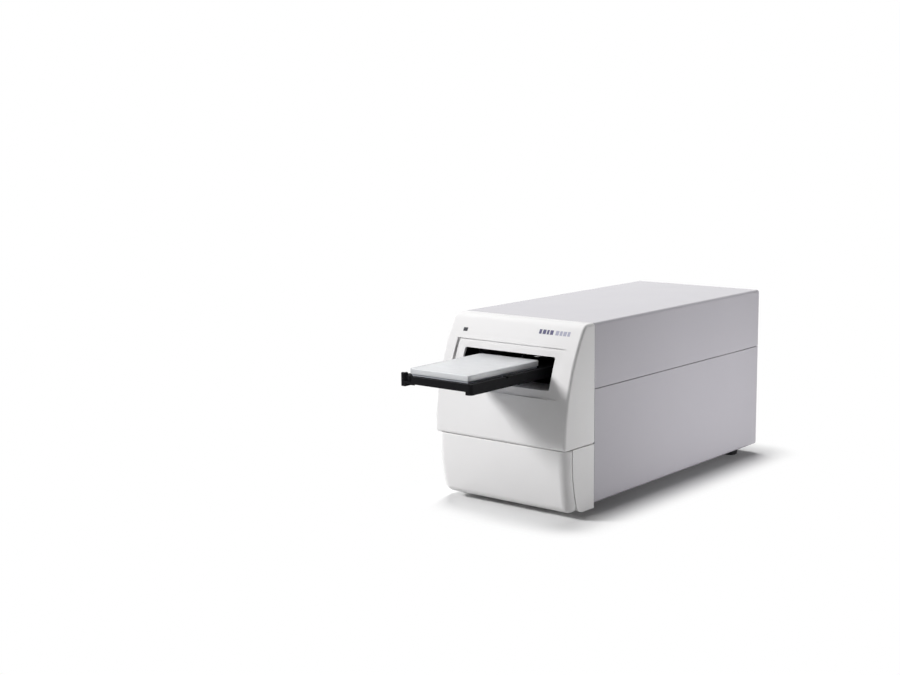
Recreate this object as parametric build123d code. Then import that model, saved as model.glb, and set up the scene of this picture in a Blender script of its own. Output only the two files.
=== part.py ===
from build123d import *
import os
from math import asin, cos, pi, radians, sin, sqrt, tan

# Bench microplate reader. Every piece is drawn with X across the instrument, Y from the seam between the
# moulded front and the covers towards the rear, and Z up from the bench. The finished pieces are then
# moved along Y so that the whole instrument is centred on the origin.

# Housing. Its width, depth and height are worked out below, from the mechanism that it has to hold.
COVER_BOTTOM_Z = 12.0
SIDE_ROOM = 4.5
REAR_BAY = 80.0
HEAD_ROOM = 24.0
COVER_WALL = 2.5
COVER_EDGE_R = 3.5
PARTING_Z = 146.5
PARTING_GAP = 0.8
PARTING_SCREW = 22.0
BOTTOM_SCREW = 36.0
SEAM_GAP = 0.6
REAR_FLANGE = 9.0
FIT_GAP = 0.3

# Drawing aids: how near counts as touching, and how far a cutting form runs past what it cuts
NEAR = 0.01
PAST = 30.0

# Moulded front
FRONT_REACH = 58.0
FRONT_LEAN = 39.9
FRONT_ARC_Z = 90.0
TOP_NOSE_R = 12.0
FRONT_CORNER_R = 3.5
FRONT_WALL = 3.0
FRONT_BOTTOM_Z = 7.0
STEP_Z = 82.5
LIP_R = 4.0
SLOT_SIDE = 14.6
SLOT_BELOW = 11.8
SLOT_ABOVE = 5.6
SLOT_CORNER_R = 2.0
POCKET_DEPTH = 2.5
POCKET_SIDE = 13.4
POCKET_ABOVE = 10.0
POCKET_BELOW = 9.0
SILL_DEPTH = 40.0
SILL_THICK = 2.5

# Lower front panel
PANEL_STEP = 2.5
PANEL_TUCK = 11.15
PANEL_ARC_Z = 68.0
PANEL_CORNER_R = 12.0
PANEL_BOTTOM_R = 12.5
PANEL_TOP_R = 1.6
PANEL_GAP = 0.6
PANEL_WALL = 2.5
PANEL_BACK = 20.0
PANEL_POST_R = 3.0
PANEL_POST_X = 57.0
PANEL_POST_TOP_Z = 58.0
PANEL_POST_LOW_Z = 34.0

# Status light
LED_SIDE = 24.3
LED_DROP = 17.7
LED_WIDTH = 6.0
LED_HEIGHT = 4.0
LED_PROUD = 0.3

# Black liner behind the slot
LINER_WALL = 1.6
LINER_GAP = 1.0
LINER_SEAT = 0.1

# Base, feet and covers' fasteners
BASE_THICK = 3.0
BASE_MARGIN = 4.0
FOOT_R = 11.0
FOOT_TIP_R = 9.5
FOOT_CHAMFER = 0.8
FOOT_INSET_X = 24.0
FOOT_FRONT_Y = 6.0
FOOT_REAR_INSET = 30.0
FOOT_RECESS_R = 4.5
FOOT_RECESS_DEPTH = 5.0
SCREW_R = 1.5
SCREW_HEAD_R = 3.0
SCREW_HEAD = 2.0
SCREW_CHAMFER = 0.8
SCREW_CLEAR = 0.2
REAR_SCREW_LENGTH = 6.0
REAR_THICK = 2.0

# Vents in the rear panel
VENT_COLUMNS = 9
VENT_PITCH = 8.0
VENT_WIDTH = 3.0
VENT_LONG = 18.0
VENT_ROW = 26.0
VENT_DROP = 38.0

# Microplate, the standard footprint
PLATE_WIDTH = 85.48
PLATE_LENGTH = 127.76
PLATE_BODY_H = 11.0
PLATE_FLANGE_H = 2.5
PLATE_FLANGE = 1.3
WELL_PITCH = 9.0
WELL_R = 3.3
WELL_DEPTH = 8.0
LID_HEIGHT = 6.2
LID_TOP_OVER_PLATE = 3.4
LID_WALL = 1.2
PLATE_CORNER_R = 3.2
LID_TOP_R = 0.6
LID_GAP = 0.2
WELL_ROWS = 8
WELL_COLUMNS = 12

# Plate carrier, at rest outside the housing
CARRIER_REACH = 170.0
CARRIER_SIDE = 8.26
CARRIER_OVER_ROD = 4.5
NEST_FLOOR = 5.5
RIM_RISE = 6.3
NEST_GAP = 0.6
NEST_LEDGE = 3.6
FRONT_BAR = 6.3
FRONT_BAR_FLOOR = 2.0
CARRIER_CORNER_R = 4.0
TAIL_END_Y = 48.0
TAIL_THICK = 6.0
RIM_NOTCH_BACK = 64.0
RIM_NOTCH = 4.0
RIM_NOTCH_DEPTH = 2.4
TRAVEL = 230.0

# Plate-positioning lever on the carrier's front left corner
LEVER_R = 3.9
LEVER_PROUD = 3.2
LEVER_SEAT = 1.5
LEVER_PIN_R = 1.5
LEVER_FINGER = 9.0
LEVER_FINGER_THICK = 2.6
LEVER_FINGER_RISE = 1.0
LEVER_TOP_R = 0.8
LEVER_FINGER_DROP = 3.0
LEVER_PIN_HEAD = 0.4
SPRING_WIRE_R = 0.35
SPRING_ROOM = 1.4
SPRING_TURNS = 3
RUNNING = 0.05

# Transport
DECK_THICK = 3.0
DECK_MARGIN = 15.0
DECK_FRONT_Y = 0.0
DECK_TAIL = 22.0
LEG_THICK = 3.0
LEG_INSET = 1.0
LEG_FRONT_Y = 22.0
LEG_REAR_GAP = 32.0
LEG_SCREW_INSET = 30.0
LEG_FLANGE = 9.0
ROD_INSET = 1.0
ROD_RISE = 10.0
ROD_R = 4.0
END_ROOM = 16.0
ROD_BLOCK = 8.0
ROD_BLOCK_WIDTH = 16.0
ROD_BLOCK_FRONT_Y = 0.6
BUSHING_R = 7.0
BUSHING_LENGTH = 12.0
SLEDGE_FRONT_Y = 10.0
SLEDGE_LENGTH = 36.0
SLEDGE_WIDTH = 16.5
SLEDGE_BRIDGE = 4.0
SLEDGE_R = 2.0
SLEDGE_WINDOW = 55.0
CARRIER_SCREW_IN = 13.0
CARRIER_SCREW_END = 6.0
BELT_OUT = 23.0
BELT_RISE = 9.5
BELT_WIDTH = 6.0
BELT_THICK = 1.4
BELT_PITCH = 3.0
PULLEY_TEETH = 20
PULLEY_TIP_DROP = 0.4
PULLEY_FLANGE = 2.2
PULLEY_FLANGE_THICK = 1.2
TOOTH_GROOVE_R = 0.75
IDLER_Y = 14.0
SHAFT_R = 2.5
MOTOR_SIDE = 35.2
MOTOR_LENGTH = 34.0
MOTOR_BOSS_R = 9.0
MOTOR_BOSS = 2.0
CLAMP_LENGTH = 14.0
CLAMP_FRONT_Y = 30.0
CLAMP_SLOT_GAP = 0.35
CLAMP_BACK = 2.0
CLAMP_LOW = 1.5
CLAMP_HIGH = 3.0
FLAG_LENGTH = 12.0
FLAG_THICK = 1.5
SENSOR_LENGTH = 14.0
SENSOR_WIDTH = 7.0
SENSOR_OUT = 16.0
SENSOR_TALL = 14.0
SENSOR_SLOT = 7.0
SENSOR_ARM = 2.2
DECK_CORNER_R = 4.0
DECK_WINDOW = 50.0
DECK_WINDOW_END = 60.0
DECK_WINDOW_R = 6.0
ROD_BLOCK_OVER = 3.0
ROD_BLOCK_R = 3.0
MOTOR_CORNER = 3.0
PIN_COLLAR_R = 4.0
PIN_HEAD = 1.5
BELT_SIDE_GAP = 0.5

# Optics
BEAM_Y = 75.0
BEAM_COUNT = 8
BEAM_LENS_R = 2.0
BEAM_LENS_THICK = 2.0
OPTICS_EDGE_R = 2.0
DETECTOR_SEAT = 3.0
LOWER_BAR_WIDTH = 80.0
LOWER_BAR_DEPTH = 20.0
LOWER_BAR_HEIGHT = 12.5
LID_CLEAR = 3.6
UPPER_BAR_HEIGHT = 10.0
UPPER_BAR_WIDTH = 84.0
UPPER_BAR_DEPTH = 18.0
BRIDGE_THICK = 3.0
BRIDGE_LEG_THICK = 4.0
BRIDGE_DEPTH = 30.0
BOARD_THICK = 1.6
DETECTOR_BOARD_WIDTH = 120.0
DETECTOR_BOARD_DEPTH = 46.0
AMPLIFIER = 5.0
AMPLIFIER_LONG = 10.0
AMPLIFIER_THICK = 2.5
HEADER_LONG = 16.0
HEADER_DEEP = 8.0
HEADER_TALL = 8.0
HEADER_INSET = 12.0

# Lamp and filter unit, on the optical axis below the deck
AXIS_RISE = 42.5
GUIDE_R = 5.0
GUIDE_BEND_R = 35.0
GUIDE_RUN = 50.0
GUIDE_RISE = 46.0
FILTER_BRACKET_THICK = 3.0
FILTER_BRACKET_FOOT = 24.0
FILTER_BRACKET_EDGE = 4.0
WHEEL_HUB = 5.0
WHEEL_HUB_R = 7.0
WHEEL_THICK = 6.0
WHEEL_R = 35.0
FILTER_CIRCLE_R = 26.0
FILTER_R = 6.0
FILTER_SEAT = 1.0
FILTER_COUNT = 8
FILTER_MOTOR_LENGTH = 30.0
LAMP_GAP = 6.0
LAMP_LENGTH = 58.0
LAMP_SIDE = 56.0
LAMP_WALL = 3.0
LAMP_FIN = 6.0
LAMP_FIN_COUNT = 6
LAMP_FIN_THICK = 2.0
LAMP_BULB_R = 6.0
REFLECTOR_R = 20.0
LENS_R = 12.0
LENS_THICK = 5.0
LENS_EDGE_R = 2.0
LENS_LIP = 2.0
REFLECTOR_WALL = 1.5
REFLECTOR_GAP = 6.0
BULB_SET_BACK = 4.0

# Electronics
MAIN_BOARD_SIDE = 22.0
MAIN_BOARD_WIDTH = 44.0
MAIN_BOARD_FRONT_Y = 24.0
MAIN_BOARD_LENGTH = 150.0
PROCESSOR = 24.0
PROCESSOR_THICK = 3.0
PROCESSOR_Y = 44.0
MEMORY = 8.0
MEMORY_LONG = 16.0
MEMORY_THICK = 2.0
MEMORY_PITCH = 12.0
MEMORY_Y = 80.0
BOARD_PLUG = 30.0
BOARD_PLUG_DEEP = 7.0
BOARD_PLUG_TALL = 9.0
BOARD_PLUG_END = 22.0
BOARD_PLUG_PITCH = 16.0
BOARD_HOLE_INSET = 5.0
STANDOFF = 7.0
STANDOFF_R = 3.0
SUPPLY_SIDE = 23.0
SUPPLY_WIDTH = 42.0
SUPPLY_REAR_ROOM = 30.5
SUPPLY_LENGTH = 110.0
SUPPLY_HEIGHT = 40.0
SUPPLY_EDGE_R = 2.0
SUPPLY_SLOTS = 7
SUPPLY_SLOT = 3.0
SUPPLY_SLOT_DEPTH = 1.5
SUPPLY_SLOT_SIDE = 8.0

# Rear fittings
FAN_X = -42.0
FAN_Z = 92.0
FAN_SIDE = 60.0
FAN_DEPTH = 15.0
FAN_BORE_R = 28.0
FAN_HUB_R = 13.0
FAN_BLADES = 7
FAN_BLADE_THICK = 1.4
FAN_TIP_GAP = 1.2
FAN_BLADE_TILT = 38.0
FAN_BLADE_TRIM = 0.4
FAN_CORNER_R = 4.0
FAN_STRUT = 4.0
FAN_STRUT_THICK = 2.5
FAN_PIN_R = 2.0
FAN_PIN = 5.0
FAN_FACE_GAP = 1.5
GUARD_WIRE = 1.8
GUARD_RINGS = 4
INLET_X = 45.0
INLET_Z = 50.0
INLET_WIDTH = 27.0
INLET_HEIGHT = 20.0
INLET_FLANGE = 8.0
INLET_FLANGE_THICK = 2.0
INLET_DEPTH = 24.0
INLET_CAVITY_WALL = 2.0
INLET_CAVITY_DEPTH = 17.0
INLET_PIN_LENGTH = 12.0
INLET_PIN_PITCH = 7.0
INLET_PIN_THICK = 2.0
INLET_PIN_TALL = 4.0
INLET_EARTH_RISE = 3.0
INLET_CORNER = 4.0
FUSE_DROP = 19.0
FUSE_WIDTH = 20.0
FUSE_HEIGHT = 7.0
FUSE_DEPTH = 16.0
FUSE_RIM = 2.0
FUSE_GRIP_LONG = 8.0
FUSE_GRIP = 2.0
FUSE_GRIP_DEPTH = 0.6
SWITCH_Z = 88.0
SWITCH_WIDTH = 13.0
SWITCH_HEIGHT = 20.0
SWITCH_RIM = 2.0
SWITCH_DEPTH = 15.0
SWITCH_TILT = 11.0
SWITCH_WALL = 1.5
SWITCH_PIN_R = 1.2
SWITCH_PIN_DEPTH = 1.0
ROCKER_FACE = 2.6
ROCKER_DEPTH = 5.0
ROCKER_DIP = 1.2
ROCKER_WAIST = 1.6
DATA_X = 10.0
DATA_Z = 50.0
DATA_WIDTH = 12.0
DATA_HEIGHT = 11.0
DATA_DEPTH = 16.0
DATA_PROUD = 0.8
DATA_WALL = 1.5
DATA_MOUTH = 9.0
DATA_TONGUE = 5.5
DATA_TONGUE_THICK = 3.2

# Worked out, from the bench up
FLOOR_Z = COVER_BOTTOM_Z + COVER_WALL
BASE_TOP_Z = FLOOR_Z + BASE_THICK
AXIS_Z = BASE_TOP_Z + AXIS_RISE
DECK_TOP_Z = AXIS_Z + GUIDE_BEND_R + GUIDE_RISE
DECK_BOTTOM_Z = DECK_TOP_Z - DECK_THICK
ROD_Z = DECK_TOP_Z + ROD_RISE
BELT_Z = DECK_TOP_Z + BELT_RISE
LOWER_BAR_TOP_Z = DECK_TOP_Z + LOWER_BAR_HEIGHT
CARRIER_BOTTOM_Z = ROD_Z + ROD_R + CARRIER_OVER_ROD
NEST_FLOOR_Z = CARRIER_BOTTOM_Z + NEST_FLOOR
FRONT_BAR_BOTTOM_Z = NEST_FLOOR_Z - FRONT_BAR_FLOOR
RIM_Z = NEST_FLOOR_Z + RIM_RISE
LEVER_BOTTOM_Z = CARRIER_BOTTOM_Z + LEVER_SEAT
LEVER_TOP_Z = RIM_Z + LEVER_PROUD
LEVER_FINGER_Z = NEST_FLOOR_Z + LEVER_FINGER_RISE
LID_TOP_Z = NEST_FLOOR_Z + PLATE_BODY_H + LID_TOP_OVER_PLATE
UPPER_BAR_BOTTOM_Z = LID_TOP_Z + LID_CLEAR
BRIDGE_TOP_Z = UPPER_BAR_BOTTOM_Z + UPPER_BAR_HEIGHT + BRIDGE_THICK
SENSOR_TOP_Z = DECK_TOP_Z + SENSOR_TALL
TOP_Z = BRIDGE_TOP_Z + HEAD_ROOM + COVER_WALL
SLOT_BOTTOM_Z = CARRIER_BOTTOM_Z - SLOT_BELOW
SLOT_TOP_Z = LID_TOP_Z + SLOT_ABOVE
LED_Z = TOP_Z - LED_DROP

# Worked out, from the middle to the sides
NEST_HALF = PLATE_WIDTH / 2 + NEST_GAP
CARRIER_HALF = PLATE_WIDTH / 2 + CARRIER_SIDE
ROD_X = CARRIER_HALF - ROD_INSET
BELT_X = ROD_X + BELT_OUT
PULLEY_PITCH_R = PULLEY_TEETH * BELT_PITCH / (2 * pi)
PULLEY_R = PULLEY_PITCH_R - PULLEY_TIP_DROP
BELT_IN_R = PULLEY_R + FIT_GAP
BELT_OUT_R = BELT_IN_R + BELT_THICK
FLANGE_R = PULLEY_R + PULLEY_FLANGE
SENSOR_X = -ROD_X - SENSOR_OUT
BRIDGE_LEG_X = BELT_X - BRIDGE_LEG_THICK / 2
DECK_HALF_WIDTH = BELT_X + DECK_MARGIN
INNER_HALF = DECK_HALF_WIDTH + SIDE_ROOM
HALF = INNER_HALF + COVER_WALL
SLOT_HALF = CARRIER_HALF + SLOT_SIDE
LED_X = LED_SIDE - HALF
MAIN_BOARD_X = MAIN_BOARD_SIDE - HALF
SUPPLY_X = HALF - SUPPLY_SIDE - SUPPLY_WIDTH

# Worked out, from the seam to the front and the rear
FRONT_RISE = TOP_Z - FRONT_ARC_Z
FRONT_ARC_R = (FRONT_RISE ** 2 + FRONT_LEAN ** 2) / (2 * FRONT_LEAN)
PANEL_TOP_Z = STEP_Z - PANEL_GAP
PANEL_FRONT_Y = -FRONT_REACH + PANEL_STEP
PANEL_FALL = PANEL_ARC_Z - FRONT_BOTTOM_Z
PANEL_ARC_R = (PANEL_FALL ** 2 + PANEL_TUCK ** 2) / (2 * PANEL_TUCK)
NEST_FRONT_Y = -CARRIER_REACH + FRONT_BAR
PLATE_FRONT_Y = NEST_FRONT_Y + NEST_GAP
PLATE_END_Y = PLATE_FRONT_Y + PLATE_LENGTH
NEST_END_Y = PLATE_END_Y + NEST_GAP
PLATE_MID_Y = (PLATE_FRONT_Y + PLATE_END_Y) / 2
LEVER_X = -CARRIER_HALF + LEVER_R
LEVER_Y = -CARRIER_REACH + LEVER_R
SLEDGE_END_Y = SLEDGE_FRONT_Y + SLEDGE_LENGTH
CLAMP_END_Y = CLAMP_FRONT_Y + CLAMP_LENGTH
ROD_END_Y = SLEDGE_END_Y + TRAVEL + END_ROOM + ROD_BLOCK
DRIVE_Y = CLAMP_END_Y + TRAVEL + END_ROOM
DECK_END_Y = DRIVE_Y + DECK_TAIL
LEG_END_Y = DRIVE_Y - LEG_REAR_GAP
FILTER_BRACKET_Y = BEAM_Y + GUIDE_BEND_R + GUIDE_RUN
WHEEL_X = FILTER_CIRCLE_R
WHEEL_Y = FILTER_BRACKET_Y + FILTER_BRACKET_THICK + WHEEL_HUB
LAMP_FRONT_Y = WHEEL_Y + WHEEL_THICK + LAMP_GAP
COVER_DEPTH = DECK_END_Y + REAR_BAY
REAR_FACE_Y = COVER_DEPTH - COVER_WALL
REAR_INNER_Y = REAR_FACE_Y - REAR_THICK
SUPPLY_FRONT_Y = REAR_FACE_Y - INLET_DEPTH - SUPPLY_REAR_ROOM - SUPPLY_LENGTH
ROCKER_REACH = SWITCH_HEIGHT / 2 * sin(radians(SWITCH_TILT)) + ROCKER_FACE
REAR_REACH_Y = REAR_FACE_Y + max(SWITCH_RIM, ROCKER_REACH, COVER_WALL + SCREW_HEAD)
SHIFT_Y = (CARRIER_REACH - REAR_REACH_Y) / 2


def block(x, y, z):
    """A block between two corners, given as (low, high) along each axis."""
    size = Box(x[1] - x[0], y[1] - y[0], z[1] - z[0])
    return Pos((x[0] + x[1]) / 2, (y[0] + y[1]) / 2, (z[0] + z[1]) / 2) * size


def post(x, y, r, z):
    """A round bar along Z."""
    return Pos(x, y, (z[0] + z[1]) / 2) * Cylinder(r, z[1] - z[0])


def bar_y(x, z, r, y):
    """A round bar along Y."""
    return Pos(x, (y[0] + y[1]) / 2, z) * Rot(90, 0, 0) * Cylinder(r, y[1] - y[0])


def both_sides(x):
    """The same distance on each side of the middle."""
    return (-x, x)


def side_slab(outline, half_width):
    """A side outline, drawn in Y and Z, made into a body centred on the middle plane."""
    return extrude(Plane.YZ * outline, half_width, both=True)


def curved_outline(front, arc_r, arc_z, inset, back, z, top_r, lip_r):
    """Side outline with an upright front that leans back along one arc, up or down to its rounded end.

    front is the foremost Y, arc_z the height where the arc leaves the upright, and z runs from the
    upright's end to the curved end. lip_r rounds the upright's end, where it is above zero.
    """
    r = arc_r - inset
    centre = front + arc_r
    rise = z[1] - arc_z
    turn = asin(rise / r)
    end = (centre - r * cos(turn), z[1])
    half_way = (centre - r * cos(turn / 2), arc_z + r * sin(turn / 2))
    start = (front + inset, arc_z)
    foot = (front + inset, z[0])
    lines = Polyline(end, (back, z[1]), (back, z[0]), foot, start)
    face = make_face([lines, ThreePointArc(start, half_way, end)])
    nose = face.vertices().sort_by_distance((end[0], end[1], 0))[0]
    face = fillet(nose, top_r)
    if lip_r <= 0:
        return face
    lip = face.vertices().sort_by_distance((foot[0], foot[1], 0))[0]
    return fillet(lip, lip_r)


def upper_form(inset, back=0.0):
    """The upper front's body, set in by a wall, with its side edges still square."""
    z = (STEP_Z + max(inset, 0), TOP_Z - inset)
    radii = (TOP_NOSE_R - inset, LIP_R - max(inset, 0))
    outline = curved_outline(-FRONT_REACH, FRONT_ARC_R, FRONT_ARC_Z, inset, back, z, *radii)
    return side_slab(outline, HALF - inset)


def lower_form(setback, inset, back, top, half_width):
    """The lower front's body, set back from the panel's face and set in at its foot."""
    z = (top, FRONT_BOTTOM_Z + inset)
    front = PANEL_FRONT_Y + setback
    radii = (PANEL_BOTTOM_R - inset, 0)
    outline = curved_outline(front, PANEL_ARC_R, PANEL_ARC_Z, inset, back, z, *radii)
    return side_slab(outline, half_width)


def front_edges(body, half_width):
    """The edges that run round the front and top of a form, on both of its sides."""
    ends = body.edges().filter_by_position(Axis.X, half_width - NEAR, half_width + NEAR)
    ends += body.edges().filter_by_position(Axis.X, -half_width - NEAR, -half_width + NEAR)
    return ends


def round_front(body, half_width, radius, keep_z):
    """Round a form's side edges, apart from its flat back and its straight cut at height keep_z."""
    back = body.bounding_box().max.Y
    edges = []
    for edge in front_edges(body, half_width):
        straight = edge.geom_type == GeomType.LINE
        at_back = abs(edge.center().Y - back) < NEAR
        at_cut = abs(edge.center().Z - keep_z) < NEAR
        if not (straight and (at_back or at_cut)):
            edges.append(edge)
    return fillet(edges, radius)


def slot_block(grow, y):
    """The front slot's outline, grown by a margin, as a block along Y."""
    return block(both_sides(SLOT_HALF + grow), y, (SLOT_BOTTOM_Z - grow, SLOT_TOP_Z + grow))


def pocket_block(grow, y):
    """The shallow recess round the slot, as a block along Y."""
    z = (SLOT_BOTTOM_Z - POCKET_BELOW - grow, SLOT_TOP_Z + POCKET_ABOVE + grow)
    return block(both_sides(SLOT_HALF + POCKET_SIDE + grow), y, z)


def front_cavity():
    """The space behind the front's wall, with a thicker wall behind the recess."""
    upper = upper_form(FRONT_WALL, PAST)
    pad = pocket_block(FRONT_WALL, (-FRONT_REACH, 0))
    upper -= pad & (upper - upper_form(FRONT_WALL + POCKET_DEPTH, PAST))
    setback = PANEL_CORNER_R + PANEL_GAP
    lower = lower_form(setback, FRONT_WALL, PAST, STEP_Z + 2 * FRONT_WALL, HALF - FRONT_WALL)
    return upper + lower


def front_fascia():
    """The moulded front: slot with its recess and sill, side cheeks and the wall behind the lower panel."""
    back = -SEAM_GAP / 2
    upper = round_front(upper_form(0, back), HALF, FRONT_CORNER_R, STEP_Z)
    lower = lower_form(PANEL_CORNER_R + PANEL_GAP, 0, back, STEP_Z, HALF)
    body = upper + lower - front_cavity()
    outside = (-FRONT_REACH - 1, 0)
    body -= pocket_block(0, outside) - upper_form(POCKET_DEPTH, PAST)
    sill_z = (SLOT_BOTTOM_Z - SILL_THICK, SLOT_BOTTOM_Z)
    sill_half = SLOT_HALF + LINER_GAP + LINER_WALL + LINER_GAP
    sill = block(both_sides(sill_half), (-FRONT_REACH, SILL_DEPTH - FRONT_REACH + POCKET_BELOW), sill_z)
    body += sill & upper_form(POCKET_DEPTH + FRONT_WALL / 2, PAST)
    slot = slot_block(0, (-FRONT_REACH - 1, -1))
    slot = fillet(slot.edges().filter_by(Axis.Y), SLOT_CORNER_R)
    body -= slot - block(both_sides(HALF), (-SILL_DEPTH / 2, 0), (0, SLOT_BOTTOM_Z + SLOT_CORNER_R))
    return body - led_block(0, 0)


def led_block(grow, trim):
    """The status light's window in the front, as a block along Y."""
    x = (LED_X - LED_WIDTH / 2 - grow, LED_X + LED_WIDTH / 2 + grow)
    z = (LED_Z - LED_HEIGHT / 2 - grow, LED_Z + LED_HEIGHT / 2 + grow)
    return block(x, (-FRONT_REACH + trim, 0), z)


def status_led():
    """Smoked light window that follows the front's curve."""
    lens = led_block(0, 0) & upper_form(-LED_PROUD, PAST)
    return lens - upper_form(FRONT_WALL + LED_PROUD, PAST)


def panel_posts():
    """Clip posts inside the lower panel that reach the wall behind it."""
    posts = []
    for x in both_sides(PANEL_POST_X):
        for z in (PANEL_POST_TOP_Z, PANEL_POST_LOW_Z):
            posts.append(bar_y(x, z, PANEL_POST_R, (-FRONT_REACH, 0)))
    return posts


def front_lower_panel():
    """Pillow-shaped lower panel, hollow behind, with its sides turned back to the cheeks."""
    top = PANEL_TOP_Z
    outer = round_front(lower_form(0, 0, -PANEL_BACK, top, HALF), HALF, PANEL_CORNER_R, top)
    rim = outer.edges().filter_by_position(Axis.Z, top - NEAR, top + NEAR)
    rim = rim.sort_by(Axis.Y)[:1]
    outer = fillet(rim, PANEL_TOP_R)
    keep = lower_form(PANEL_CORNER_R, -1.0, 0.0, top + 5, HALF + 5)
    hollow = lower_form(PANEL_WALL, PANEL_WALL, 0.0, top - PANEL_WALL, HALF - PANEL_WALL)
    hollow = round_front(hollow, HALF - PANEL_WALL, PANEL_CORNER_R - PANEL_WALL, top - PANEL_WALL)
    panel = outer - keep - hollow
    inside = outer - lower_form(PANEL_CORNER_R + PANEL_GAP, 0, 0.0, top + 5, HALF + 5)
    for clip in panel_posts():
        panel += clip & inside
    return panel


def cover_shell():
    """The painted housing behind the seam: a rounded box, open in front, with a turned-in rear edge."""
    z = (COVER_BOTTOM_Z, TOP_Z)
    outer = block(both_sides(HALF), (SEAM_GAP / 2, COVER_DEPTH), z)
    rounded = outer.edges().filter_by(Axis.Y) + outer.faces().sort_by(Axis.Y)[-1].edges()
    outer = fillet(rounded, COVER_EDGE_R)
    inner_z = (FLOOR_Z, TOP_Z - COVER_WALL)
    outer -= block(both_sides(INNER_HALF), (-1, REAR_FACE_Y), inner_z)
    window_z = (COVER_BOTTOM_Z + REAR_FLANGE, TOP_Z - REAR_FLANGE)
    return outer - block(both_sides(HALF - REAR_FLANGE), (0, COVER_DEPTH + 1), window_z)


def rear_screw_spots():
    """Where the covers are screwed to the rear panel: (x, z) of each screw."""
    x = HALF - REAR_FLANGE / 2 - COVER_WALL / 2
    heights = (COVER_BOTTOM_Z + BOTTOM_SCREW, PARTING_Z - PARTING_SCREW)
    heights += (PARTING_Z + PARTING_SCREW, TOP_Z - PARTING_SCREW)
    return [(side, z) for side in both_sides(x) for z in heights]


def rear_screw_holes(radius, y):
    """The holes for the rear screws."""
    return [bar_y(x, z, radius, y) for x, z in rear_screw_spots()]


def upper_cover():
    """Top and upper sides of the housing in one shell."""
    lower_half = block(both_sides(HALF + 1), (-1, COVER_DEPTH + 1), (0, PARTING_Z + PARTING_GAP / 2))
    shell = cover_shell() - lower_half
    return shell - rear_screw_holes(SCREW_R + SCREW_CLEAR, (REAR_FACE_Y - 1, COVER_DEPTH + 1))


def lower_cover():
    """Floor and lower sides of the housing in one tray."""
    above = (PARTING_Z - PARTING_GAP / 2, TOP_Z + 1)
    upper_half = block(both_sides(HALF + 1), (-1, COVER_DEPTH + 1), above)
    tray = cover_shell() - upper_half
    tray -= rear_screw_holes(SCREW_R + SCREW_CLEAR, (REAR_FACE_Y - 1, COVER_DEPTH + 1))
    for x, y in foot_spots():
        tray -= post(x, y, SCREW_R + SCREW_CLEAR, (COVER_BOTTOM_Z - 1, FLOOR_Z + 1))
    return tray


def cover_screws():
    """Pan-head screws that hold both covers to the rear panel."""
    screws = []
    for x, z in rear_screw_spots():
        head = bar_y(x, z, SCREW_HEAD_R, (COVER_DEPTH, COVER_DEPTH + SCREW_HEAD))
        head = chamfer(head.edges().sort_by(Axis.Y)[-1], SCREW_CHAMFER)
        screws.append(head + bar_y(x, z, SCREW_R, (COVER_DEPTH - REAR_SCREW_LENGTH, COVER_DEPTH)))
    return screws


def foot_spots():
    """Where the feet stand: (x, y) of each."""
    ys = (FOOT_FRONT_Y + FOOT_R, COVER_DEPTH - FOOT_REAR_INSET)
    return [(side, y) for side in both_sides(HALF - FOOT_INSET_X) for y in ys]


def rubber_feet():
    """Four tapered rubber feet with a recess for their screws."""
    feet = []
    for x, y in foot_spots():
        foot = Pos(x, y, COVER_BOTTOM_Z / 2) * Rot(180, 0, 0) * Cone(FOOT_R, FOOT_TIP_R, COVER_BOTTOM_Z)
        foot = chamfer(foot.edges().sort_by(Axis.Z)[0], FOOT_CHAMFER)
        foot -= post(x, y, FOOT_RECESS_R, (-1, FOOT_RECESS_DEPTH))
        foot -= post(x, y, SCREW_R + SCREW_CLEAR, (0, COVER_BOTTOM_Z + 1))
        feet.append(foot)
    return feet


def foot_screws():
    """Screws up through the feet into the base plate."""
    screws = []
    for x, y in foot_spots():
        head = post(x, y, SCREW_HEAD_R, (FOOT_RECESS_DEPTH - SCREW_HEAD, FOOT_RECESS_DEPTH))
        screws.append(head + post(x, y, SCREW_R, (FOOT_RECESS_DEPTH, BASE_TOP_Z)))
    return screws


def base_plate():
    """Steel base plate that carries the deck, the lamp unit and the boards."""
    half = INNER_HALF - BASE_MARGIN
    plate = block(both_sides(half), (SEAM_GAP, REAR_INNER_Y - FIT_GAP), (FLOOR_Z, BASE_TOP_Z))
    plate = fillet(plate.edges().filter_by(Axis.Z), BASE_MARGIN)
    for x, y in foot_spots():
        plate -= post(x, y, SCREW_R, (FLOOR_Z - 1, BASE_TOP_Z + 1))
    return plate


def plate_tunnel():
    """Black liner over the slot's sides and top, from the front's wall to the seam."""
    outer_half = SLOT_HALF + LINER_GAP + LINER_WALL
    roof = SLOT_TOP_Z + LINER_GAP + LINER_WALL
    y = (-FRONT_REACH, SILL_DEPTH - FRONT_REACH + POCKET_BELOW - LINER_GAP)
    liner = block(both_sides(outer_half), y, (SLOT_BOTTOM_Z, roof))
    liner -= block(both_sides(outer_half - LINER_WALL), (y[0] - 1, y[1] + 1), (0, roof - LINER_WALL))
    return liner & upper_form(FRONT_WALL + POCKET_DEPTH + LINER_SEAT, PAST)


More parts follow.
